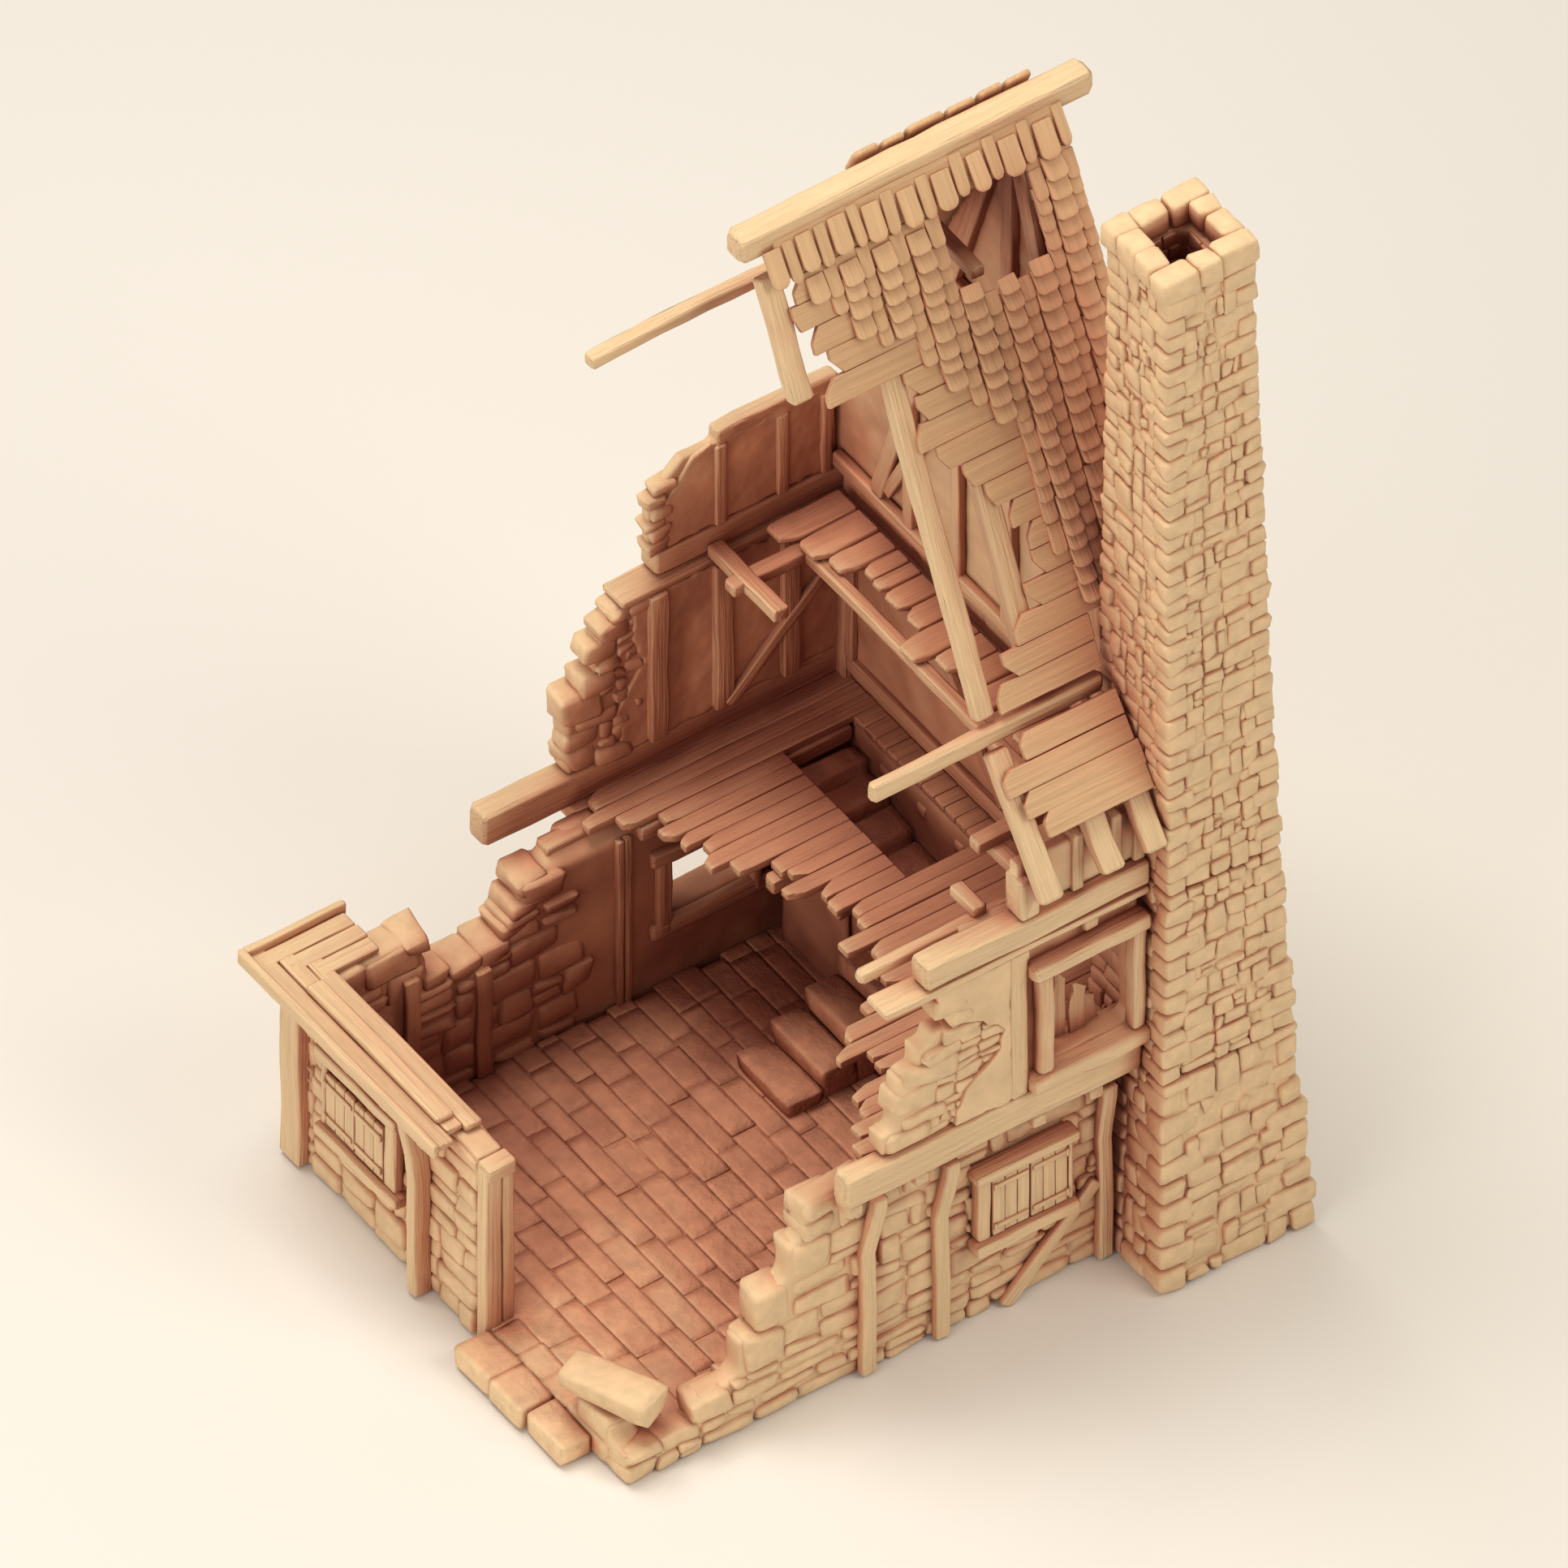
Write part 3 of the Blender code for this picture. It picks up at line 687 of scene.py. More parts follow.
def windowSticks(piece, node, window):
    # lintel, sill and two jambs of a window frame, filling its CAD box
    low, high = span(node)
    along = window["along"]

    def bar(a0, a1, z0, z1, back=0.0):
        p, q = low.copy(), high.copy()
        p[along], q[along], p[2], q[2] = a0, a1, z0, z1
        p[1 - along] += back
        piece.beam(p, q, 0.7, 0.25)

    foot, head = window["sillTop"] - 0.2, window["headBottom"] + 0.2
    bar(low[along], high[along], low[2], window["sillTop"])
    bar(low[along], high[along], window["headBottom"], high[2])
    bar(window["jambs"][0], window["hole"][0], foot, head, windows["jambBack"])
    bar(window["hole"][1], window["jambs"][1], foot, head, windows["jambBack"])


leaf = {
    "boards": 3,
    "ledges": (2.6, -4.0, 1.5),  # up from the foot, down from the head, height
    "pins": (2.2, -4.4, 2.3),
    "pinHalf": 0.45,
}


def shutter(name, along, hinge):
    # three upright boards, two ledges across them and a pair of pins
    rng = np.random.default_rng(len(name) * 7 + along)
    low, high = span(name)
    across = 1 - along
    piece = Piece(rng)
    width = (high[along] - low[along]) / leaf["boards"]
    for i in range(leaf["boards"]):
        p, q = low.copy(), high.copy()
        p[along], q[along] = low[along] + i * width + 0.06, low[along] + (i + 1) * width - 0.06
        p[across] += 0.35
        p[2] += rng.uniform(0, 0.3)
        q[2] -= rng.uniform(0, 0.3)
        piece.beam(p, q, 0.3, 0.06)
    foot, head, tall = leaf["ledges"]
    for z in (low[2] + foot, high[2] + head):
        p, q = low.copy(), high.copy()
        p[2], q[2] = z, z + tall
        q[across] = low[across] + 0.75
        p[across] -= 0.25
        p[along] += 0.5
        q[along] -= 0.5
        piece.beam(p, q, 0.25, 0.05)
    at = low[along] + 0.5 if hinge == "low" else high[along] - 0.5
    foot, head, tall = leaf["pins"]
    for z in (low[2] + foot, high[2] + head):
        p, q = low.copy(), high.copy()
        p[along], q[along], p[2], q[2] = at - leaf["pinHalf"], at + leaf["pinHalf"], z, z + tall
        p[across], q[across] = low[across] - 0.55, low[across] + 0.5
        piece.beam(p, q, 0.3, 0.03)
    piece.cast(name + "_boards", timber, name, [name])


posts = {
    "facadeBend": ((0, 0, 0), (0, 0, 20), (0, 0, 40), (-0.4, 0.6, 48), (-1, 2.4, 55)),
    "frontBend": ((0, -1.6, 0), (0.2, -1.6, 22), (-0.2, -1.6, 42)),
    "brace": [(112.3, -1.8, 0), (140, -1.8, 28)],
}


def postSticks(rng):
    low, high = span("corner_post")
    piece = Piece(rng)
    piece.beam(low, (high[0] + 2.5, high[1], high[2]), 0.8, 0.25)
    piece.cast("corner_post_stick", timber, ground, ["corner_post"])
    low, high = span("door_post")
    piece = Piece(rng)
    piece.beam(low, (4.0, high[1], high[2]), 0.7, 0.2)
    piece.beam((4.3, low[1] + 0.4, 5.6), (8, high[1], high[2] - 3), 0.6, 0.2)
    piece.beam((-0.5, 58.6, 56.5), (8.2, 63.8, 61.2), 0.7, 0.3)
    piece.cast("door_post_stick", timber, ground, ["door_post"])
    low, high = span("facade_post")
    middle = (low + high) / 2
    path = [(middle[0] + dx, middle[1] + dy, z) for dx, dy, z in posts["facadeBend"]]
    path.append((middle[0] - 1, middle[1] + 4, high[2]))
    piece = Piece(rng)
    piece.stick(path, (0, 1, 0), high[0] - low[0], 3.7, 0.7, 0.2)
    piece.cast("facade_post_stick", timber, ground, ["facade_post"])
    for side in ("left", "middle", "right"):
        low = span("front_post_" + side)[0]
        x, lean = (142.2, 0.6) if side == "right" else (low[0] + 2.2, 2.3)
        path = [(x + dx, y, z) for dx, y, z in posts["frontBend"]]
        path += [(x + lean * 0.6, -2.2, 50), (x + lean, -3, 57), (x + lean, -3.2, 61)]
        piece = Piece(rng)
        piece.stick(path, (0, 1, 0), 4.3, 3.2, 0.7, 0.2)
        if side == "right":
            piece.stick(posts["brace"], (0, 1, 0), 3.9, 2.4, 0.6, 0.2)
        piece.cast(f"front_post_{side}_stick", timber, ground, ["front_post_" + side])


def windowsAndShutters(rng):
    piece = Piece(rng)
    windowSticks(piece, "front_window_frame", windows["front"])
    piece.cast("front_window_sticks", timber, ground, ["front_window_frame"])
    piece = Piece(rng)
    windowSticks(piece, "facade_window_frame", windows["facade"])
    piece.beam((-2.2, 99.6, 43.8), (-0.4, 125.4, 48.8), 0.6, 0.2)
    piece.cast("facade_window_sticks", timber, ground, ["facade_window_frame"])
    for name, along, hinge in (("shutter_front_left", 0, "low"), ("shutter_front_right", 0, "high"),
                               ("shutter_facade_left", 1, "high"), ("shutter_facade_right", 1, "low")):
        shutter(name, along, hinge)


jetty = {
    "level": 63,
    "board": (4.9, 2),  # width and thickness
    "facadeBoards": (-7.4, -2.3, 2.6),  # x
    "backBoards": (146.4, 141.2, 136),  # y
    "joists": (76, 92, 108, 124, 140),  # y
}


def jettyBoards(rng):
    low, high = span("jetty_deck")
    wide, thick = jetty["board"]
    level = jetty["level"]
    piece = Piece(rng)
    for i, x in enumerate(jetty["facadeBoards"]):
        start = low[1] + (0.6 if i == 0 else 2.4 + rng.uniform(0, 2))
        piece.stick([(x + wide / 2, start, level), (x + wide / 2, 152 - i * 5.2, level)], (0, 0, 1), wide, thick,
                    0.5, 0.15, [(0, 1, 1, 0), (0.9, 1, 1, 0), (1, 0.9, 1, 0)])
    for i, y in enumerate(jetty["backBoards"]):
        piece.stick([(-6 + i * 5, y + 2.5, level), (high[0] - rng.uniform(0, 3), y + 2.5, level)], (0, 0, 1),
                    wide, thick, 0.5, 0.15)
    piece.stick([(-0.3, 77, 64.9), (-0.3, 134, 64.9)], (0, 0, 1), 5.2, 2.1, 0.7, 0.2)
    piece.beam((low[0], low[1] - 1, 61.8), (low[0] + 2.1, high[1], high[2]), 0.6, 0.15)
    piece.beam((low[0] + 1.5, high[1] - 2.1, 61.8), (high[0] + 0.5, high[1], high[2]), 0.6, 0.15)
    for y in jetty["joists"]:
        piece.beam((-8, y, 58.6), (7.5, y + 3.4, 62), 0.5, 0.2)
    piece.cast("jetty_boards", timber, ground, ["jetty_deck"])


def wallSticks(rng):
    piece = Piece(rng)
    piece.beam((73, 138.4, 62.4), (167.8, 143.8, 65.9), 0.7, 0.25)
    for x, level in ((26, 51), (47.7, 42)):
        piece.beam((x, 131.8, 5.6), (x + 4.6, 134.6, level), 0.6, 0.25)
    piece.beam((90.8, 133.2, 5.6), (92.8, 135.2, 62), 0.3, 0.15)
    piece.beam((93.1, 133.4, 5.6), (95.2, 135.2, 62), 0.3, 0.15)
    for x0, x1, z0, z1 in ((102.7, 107, 23, 49), (131, 134, 23, 49), (101, 137, 22, 27), (101, 137, 47, 52)):
        piece.beam((x0, 132.6, z0), (x1, 135.4, z1), 0.8, 0.3)  # inner frame of the back window
    for x in (62.5, 82.6, 118, 135.1):
        piece.beam((x, -6.4, 61.3), (x + 4.2, 2, 65.2), 0.6, 0.2)  # joist ends
    piece.beam((168.6, 15.4, 61.2), (174.9, 145, 66), 0.8, 0.3)
    piece.cast("ground_wall_sticks", timber, ground)


def groundTimber():
    rng = np.random.default_rng(23)
    postSticks(rng)
    windowsAndShutters(rng)
    jettyBoards(rng)
    wallSticks(rng)


chimney = {  # rows of (height, (x0, y0, x1, y1))
    "base": [(0, (145.9, -21.6, 191.0, 15.0)), (28, (147.4, -19.5, 191.0, 15.0)), (48, (149, -17.5, 189.6, 15.0)),
             (66.5, (150.0, -16.3, 188.8, 15.0))],
    "shaft": [(66.5, (150.0, -16.3, 188.8, 15.0)), (130.3, (152.1, -16.1, 184.6, 15.0)),
              (332, (155.0, -10.9, 180.1, 13.6))],
    "bite": 3.5,  # how deep a face stone goes in
    "cut": 0.22,
    "crownRing": 6.3,
    "flue": (159.3, 174.2, -7.7, 9.1),  # x0, x1, y0, y1
    "flueFrom": 262.0,
}
lifts = (
    {"name": "base", "plan": "base", "z": (0, 66.2), "course": 6.6, "lengths": (8, 14), "body": ground, "radius": 1.3,
     "lump": 0.7, "quoin": (10.5, 7)},
    {"name": "middle", "plan": "shaft", "z": (66.8, 130), "course": 5.6, "lengths": (6, 11), "body": upper,
     "radius": 1.05, "lump": 0.55, "quoin": (8.5, 5.4)},
    {"name": "top", "plan": "shaft", "z": (130.6, 331.6), "course": 5.2, "lengths": (5.4, 9.6), "body": top,
     "radius": 0.95, "lump": 0.5, "quoin": (7.6, 4.8)},
)


def planAt(table, z):
    return [float(np.interp(z, [row[0] for row in table], [row[1][i] for row in table])) for i in range(4)]


def onFace(face, box, along, up, out, bite):
    # corners of a stone on face 0 to 3 (front, back, left, right) of a box given as x0, y0, x1, y1
    x0, y0, x1, y1 = box
    through = ((y0 - out, y0 + bite), (y1 - bite, y1 + out), (x0 - out, x0 + bite), (x1 - bite, x1 + out))[face]
    x, y = (along, through) if face < 2 else (through, along)
    return (x[0], y[0], up[0]), (x[1], y[1], up[1])


def laidStack(rng, lift):
    table = chimney[lift["plan"]]
    z0, z1 = lift["z"]
    course, radius, lump = lift["course"], lift["radius"], lift["lump"]
    piece = Piece(rng)
    z = z0
    row = 0
    while z < z1 - 0.5:
        tall = min(course * rng.uniform(0.85, 1.2), z1 - z)
        if z1 - z - tall < course * 0.5:
            tall = z1 - z
        x0, y0, x1, y1 = planAt(table, z + tall / 2)
        long, short = lift["quoin"] if row % 2 else lift["quoin"][::-1]
        for cx, cy in ((0, 0), (1, 0), (0, 1), (1, 1)):
            la, lb = (long * rng.uniform(0.85, 1.15), short * rng.uniform(0.85, 1.15))
            px = (x0 - 0.7, x0 + la) if cx == 0 else (x1 - la, x1 + 0.7)
            py = (y0 - 0.7, y0 + lb) if cy == 0 else (y1 - lb, y1 + 0.3)
            proud = rng.uniform(-0.2, 0.4)
            piece.block((px[0] - proud * (cx == 0), py[0] - proud * (cy == 0), z + 0.05),
                        (px[1] + proud * (cx == 1), py[1], z + tall - 0.05), radius, lump)
        z += tall
        row += 1
    inset = lift["quoin"][1]
    for face in range(4):
        a0, a1 = planAt(table, z0)[0 if face < 2 else 1::2]
        run = a1 - a0 - 2 * inset
        for start, end, b0, b1 in rubbleCells(rng, 0, run, z0, z1, course, lift["lengths"], chimney["cut"]):
            plan = planAt(table, (b0 + b1) / 2)
            e0, e1 = plan[0 if face < 2 else 1::2]
            stretch = (e1 - e0 - 2 * inset) / run
            p0, p1 = e0 + inset + start * stretch, e0 + inset + end * stretch
            out = rng.uniform(0.1, 0.95)
            if face == 1:
                out = min(out, 0.25)
            piece.block(*onFace(face, plan, (p0 + 0.04, p1 - 0.04), (b0 + 0.04, b1 - 0.04), out, chimney["bite"]),
                        radius, lump)
    piece.cast(f"chimney_{lift['name']}_stones", stone, lift["body"])


def chimneyStone():
    rng = np.random.default_rng(37)
    for lift in lifts:
        laidStack(rng, lift)
    for lift in lifts:
        trowelled("chimney_" + lift["name"], stone, lift["body"], 1.8, 0.6, 1.08)
    low, high = span("chimney_cap")
    ring = chimney["crownRing"]
    piece = Piece(rng)
    for y0, y1, cuts in ((low[1], low[1] + ring, (0, 0.37, 0.6, 1)), (high[1] - ring, high[1], (0, 0.27, 0.6, 1))):
        edges = low[0] - 0.5 + np.array(cuts) * (high[0] - low[0] + 1)
        for a, b in zip(edges, edges[1:]):
            piece.block((a - 0.1, y0 - 0.5, low[2]), (b + 0.1, y1 + 0.2, high[2] + rng.uniform(-0.4, 0.4)), 1.6, 0.6)
    for x0, x1, cuts in ((low[0], low[0] + ring, (0, 0.48, 1)), (high[0] - ring, high[0], (0, 0.62, 1))):
        edges = low[1] + ring + np.array(cuts) * (high[1] - low[1] - 2 * ring)
        for a, b in zip(edges, edges[1:]):
            piece.block((x0 - 0.4, a - 0.1, low[2]), (x1 + 0.4, b + 0.1, high[2] + rng.uniform(-0.4, 0.4)), 1.6, 0.6)
    piece.cast("chimney_cap_stones", stone, top, ["chimney_cap"])
    piece = Piece(rng)
    x0, x1, y0, y1 = chimney["flue"]
    z = chimney["flueFrom"]
    while z < 331:
        tall = rng.uniform(4.4, 5.6)
        for face in range(4):
            a, stop = (x0, x1) if face < 2 else (y0, y1)
            while a < stop - 0.5:
                run = min(rng.uniform(3.5, 6.5), stop - a)
                piece.block(*onFace(face, (x0, y0, x1, y1), (a + 0.1, a + run - 0.1), (z + 0.1, z + tall - 0.1),
                                    1, 0.35), 0.6, 0.3)
                a += run
        z += tall
    piece.cast("flue_lining", stone, top)


deck = {
    "ends": [  # (y, x) of the broken board ends, front to back
        (-2, 76), (9, 76), (12, 78), (16, 80), (21, 86), (25, 92), (30, 96), (35, 90), (40, 97), (48, 108), (56, 117),
        (63, 122), (66, 114), (69, 122), (74, 124), (80, 117), (85, 117), (89, 112), (96, 122), (102, 113),
        (106.5, 101), (112, 104), (118, 102), (124, 101), (129, 98), (134, 93), (138, 88), (146, 86)],
    "board": (4.3, 5.6),
    "stairHole": {"x": (138.8, 160.1), "y": (77, 131)},
    "joists": (((134.6, 60, 62.2), (138.6, 134, 66.3)), ((112, 96.8, 61.6), (134.7, 100.8, 66.2)),
               ((120, 80.2, 61.6), (134.7, 84.2, 66.2)), ((96, 130.4, 61.6), (159.5, 134.3, 66.2))),
}


def deckBoards(rng):
    low, high = span("floor_deck")
    hole = deck["stairHole"]
    piece = Piece(rng)
    y = low[1]
    while y < high[1] - 1:
        wide = min(rng.uniform(*deck["board"]), high[1] - y)
        if high[1] - y - wide < 2.5:
            wide = high[1] - y + 0.4
        middle = y + wide / 2
        left = edgeAt(deck["ends"], middle) + rng.uniform(-4.5, 3)
        right = 149.5 if middle < 15.4 else high[0] + 0.6
        runs = [(left, right)]
        if hole["y"][0] < middle < hole["y"][1]:
            runs = [(left, hole["x"][0]), (hole["x"][1], right)]
        for a, b in runs:
            if b - a < 3:
                continue
            end = min(rng.uniform(2.5, 5.5), (b - a) * 0.4) / (b - a)
            lean = rng.choice((-1, 1)) * rng.uniform(0.05, 0.25)
            splintered = [(0, 1 - 2.2 * abs(lean), 0.9, lean), (end * 0.5, 1 - abs(lean), 1, lean * 0.45),
                          (end, 1, 1, 0), (1, 1, 1, 0)]
            z = (low[2] + high[2]) / 2 + rng.uniform(-0.12, 0.12)
            piece.stick([(a, middle, z), (b, middle, z)], (0, 0, 1), wide - 0.12, high[2] - low[2], 0.35, 0.12,
                        splintered if a == left else None, 12)
        y += wide
    piece.cast("deck_boards", timber, upper, ["floor_deck"])
    piece = Piece(rng)
    piece.beams(deck["joists"], 0.7, 0.25)
    piece.cast("joist_sticks", timber, upper, ["floor_joists"])


upperWindow = {
    "jambs": ((117.6, 121.8), (145.8, 149.6)),
    "torn": [(0, 1, 1, 0), (0.68, 1, 1, 0), (0.86, 0.8, 0.9, 0.2), (1, 0.25, 0.6, -0.1)],
    "splinters": ((125, -1, 13, 4.4, -1.5), (129.4, -0.4, 21, 3.8, 1), (134.5, -1.2, 15, 4.8, 0.6),
                  (139, 0, 8, 5, -0.8)),  # x, y, height, width, lean
}


def upperWindowSticks(rng):
    low, high = span("upper_window_frame")
    piece = Piece(rng)
    piece.beam((115.2, low[1] - 0.6, 77.9), (high[0] + 1, 1.5, 82.8), 1.2, 0.5)  # deep sill
    piece.beam((115, low[1] - 0.8, 117.4), (high[0] + 1, high[1] + 1, 122), 1.2, 0.5)
    for x0, x1 in upperWindow["jambs"]:
        piece.beam((x0, low[1] + 0.8, 82.6), (x1, high[1] + 1, 118), 1.0, 0.35)
    for x, y, tall, wide, lean in upperWindow["splinters"]:
        piece.stick([(x, y, 82.4), (x + lean, y + 1.5, 82.4 + tall)], (0, -1, 0), wide, 1.1, 0.3, 0.2,
                    upperWindow["torn"])
    piece.cast("upper_window_sticks", timber, upper, ["upper_window_frame"])


upperFrame = {
    "backStuds": (108.7, 128.2, 148.5),  # x
    "gable": (((165.9, 16, 77), (167.9, 20, 127)), ((165.9, 68, 77), (167.9, 72.4, 127)),
              ((165.9, 140, 77), (167.9, 145, 127)), ((165.9, 16, 72), (167.9, 145, 77)),
              ((165.9, 16, 122.5), (167.9, 145, 127.2))),
    "joistEnds": (111.2, 131.8, 151.4),  # x
    "outerStuds": (112, 132, 152, 170.5),  # x, on the outside of the back wall
    "outerBraces": ((116, 131), (157, 170)),
    "gableStuds": (15.4, 56, 98, 140.4),  # y
    "gableBraces": ((23, 54), (138, 106)),
}
outerFace = (174.4, 177.2)  # x of the framing on the outside of the gable


def upperTimber():
    rng = np.random.default_rng(51)
    deckBoards(rng)
    for node in ("sill_beam_front", "sill_beam_back", "upper_plate_front", "upper_plate_back"):
        piece = Piece(rng)
        piece.beam(*span(node), 1.3 if "sill" in node else 0.6, 0.3)
        piece.cast(node + "_stick", timber, upper, [node])
    upperWindowSticks(rng)
    piece = Piece(rng)
    piece.beam((110, -8.5, 77.4), (115, -5.6, 127.5), 0.7, 0.3)
    for x in upperFrame["backStuds"]:
        piece.beam((x, 144.4, 77.3), (x + 5.4, 147.4, 127.4), 0.6, 0.3)
    piece.stick([(132, 145.2, 78), (163.5, 145.2, 110)], (0, 1, 0), 3.4, 2.4, 0.5, 0.2)
    piece.beams(upperFrame["gable"], 0.5, 0.2)
    piece.stick([(166.8, 76, 78), (166.8, 112, 122)], (1, 0, 0), 3.2, 1.8, 0.4, 0.2)
    piece.beam((165.6, 142.8, 68.6), (168.6, 147.6, 127), 0.5, 0.2)
    piece.cast("upper_wall_sticks", timber, upper)


brokenEnd = {  # stones left standing at the broken ends, as (x0, x1, z0, z1)
    "frontOuter": ((73.5, 86, 77.4, 83.5), (78, 92, 83.2, 88.4), (75.5, 89, 88.2, 96.4), (78.6, 95, 96, 102.6),
                   (84.5, 95.5, 102.3, 107.6), (90.5, 101, 107, 111.6), (88, 96.5, 117.6, 123.4),
                   (92, 99, 113, 117.8)),
    "frontInner": ((85, 98, 77.4, 83.4), (91, 104, 83, 88), (88, 106, 88, 96), (94, 108, 96, 102),
                   (95, 109, 102, 108), (98, 108, 108, 112)),
    "backOuter": ((93, 104, 77.4, 82.6), (85, 94, 78, 86.2), (84, 95, 85.8, 91), (88, 100, 90.8, 95.2),
                  (83, 94.5, 95, 103.2), (88.5, 99, 103, 108.8), (93, 101, 108.6, 112.4), (90.6, 100.5, 112, 118.2),
                  (94.5, 103.5, 118, 123), (98, 106.5, 122.6, 127.2)),
    "backInner": ((94, 82.6, 91), (98.5, 91, 99), (94, 99, 103), (98, 104, 112), (100, 112, 118),
                  (103, 118, 127)),  # x0, z0, z1
}
upperPlaster = {
    "front": [(92.6, 77.4), (95.8, 86.9), (100, 91), (106.8, 97), (107.8, 103), (104, 107), (101, 110.4),
              (95, 112.6), (90.5, 116.3), (88.3, 122), (88, 127.2), (110.5, 127.2), (110.5, 77.4)],
    "back": [(100, 77.6), (101, 83.6), (99.5, 91.8), (103.5, 98.9), (107.5, 106), (103.6, 117), (106.3, 127),
             (167, 127), (167, 77.6)],
}


def upperWalls():
    rng = np.random.default_rng(61)
    for node in ("upper_wall_front", "upper_wall_back", "upper_wall_gable"):
        trowelled(node, plaster, upper)
    piece = Piece(rng)
    for x0, x1, z0, z1 in brokenEnd["frontOuter"]:
        piece.block((x0, -8.0, z0), (x1, 0.8, z1), 1.7, 1.1)
    for x0, x1, z0, z1 in brokenEnd["frontInner"]:
        piece.rubble(alongX, x0, x1, z0, z1, 3.0, (4.5, 8), (-7.0, -2), (), 1.0, 0.6)
    for x0, x1, z0, z1 in brokenEnd["backOuter"]:
        piece.block((x0, 145.6, z0), (x1, 154.6, z1), 1.8, 1.1)
    for x0, z0, z1 in brokenEnd["backInner"]:
        piece.rubble(alongX, x0, x0 + 9, z0, z1, 3.4, (4, 7), (146.3, 154.2), (), 1.1, 0.7)
    piece.cast("upper_broken_stones", stone, upper)
    plasterSheet("front_plaster", upperPlaster["front"], -8.1, -5.5, upper)
    plasterSheet("back_plaster", upperPlaster["back"], 146.0, 148.4, upper)

    piece = Piece(rng)
    for x in upperFrame["joistEnds"]:
        piece.beam((x, -8.6, 124), (x + 4.4, -5, 127.6), 0.6, 0.2)
    for x in upperFrame["outerStuds"]:
        piece.beam((x, 152.6, 77.2), (x + 4.8, 155.4, 127.4), 0.6, 0.3)
    for x0, x1 in upperFrame["outerBraces"]:
        piece.stick([(x0, 154.2, 79), (x1, 154.2, 126)], (0, 1, 0), 3.6, 2.4, 0.5, 0.2)
    near, far = outerFace
    for y in upperFrame["gableStuds"]:
        piece.beam((near, y, 73), (far, y + 5.2, 125), 0.7, 0.3)
    for z in (67.2, 124.2):
        piece.beam((near, 14.8, z), (far + 0.5, 146, z + 5.6), 0.8, 0.3)
    piece.beam((near, 61, 97), (far - 0.3, 98, 101.4), 0.6, 0.3)
    for y0, y1 in upperFrame["gableBraces"]:
        piece.stick([(175.6, y0, 74), (175.6, y1, 123)], (1, 0, 0), 4, 2.6, 0.6, 0.2)
    piece.cast("upper_outer_sticks", timber, upper)


roof = {"ridgeY": 72.75, "steep": (168.0, 2.204), "shallow": (174.5, 1.327)}  # each slope's foot and rise


def slopeAt(slope, y, lift=0.0):
    foot, rise = roof[slope]
    return foot + rise * (roof["ridgeY"] - abs(y - roof["ridgeY"])) + lift


steepLong, shallowLong = (math.hypot(1, roof[slope][1]) for slope in ("steep", "shallow"))
steepUp = (0, -roof["steep"][1] / steepLong, 1 / steepLong)
steepBack = (0, -steepUp[1], steepUp[2])
shallowUp = (0, -roof["shallow"][1] / shallowLong, 1 / shallowLong)

rafters = {
    "beams": ("eaves_beam_front", "attic_beam_back", "ridge_beam", "purlin_front", "loft_batten"),
    "depth": 4.2,
    "slopes": (("rafter_", "steep", steepLong, steepUp), ("rafter_tail_", "shallow", shallowLong, shallowUp)),
}


def roofFrame(rng):
    for node in rafters["beams"]:
        piece = Piece(rng)
        piece.beam(*span(node), 1.5 if node == "ridge_beam" else 1.0, 0.35)
        piece.cast(node + "_stick", timber, top, [node])
    low, high = span("purlin_back")
    piece = Piece(rng)
    piece.beam((low[0], 86, 289), (high[0], 90, 292.8), 0.8, 0.3)
    piece.beam((146, 60, 286.6), (150, 86.4, 290.2), 0.6, 0.2)
    piece.cast("purlin_back_stick", timber, top, ["purlin_back"])
    depth = rafters["depth"]
    for prefix, slope, long, up in rafters["slopes"]:
        for side in ("left", "middle", "right"):
            low, high = span(prefix + side)
            x = (low[0] + high[0]) / 2
            drop = depth / 2 * long
            piece = Piece(rng)
            piece.stick([(x, y, slopeAt(slope, y, -drop)) for y in (high[1], low[1])], up, high[0] - low[0], depth,
                        0.8, 0.3)
            piece.cast(f"{prefix}{side}_stick", timber, top, [prefix + side])


roofBoard = {
    "ends": [(9.8, 118), (14.2, 124), (20, 136), (26.5, 139), (32.7, 130), (38.8, 123.6), (40, 113.3), (45, 120),
             (48.4, 119), (50, 98.3), (58, 96.4), (61, 94), (70, 94)],  # (y, x)
    "wide": 7.4,
    "hole": (51.5, 64.8),  # y
    "eaves": ((2.2, 6.5, 122.6), (-1.9, 2.1, 115), (-6, -2, 118), (-9.6, -6.1, 121.5)),  # y0, y1, left end
}


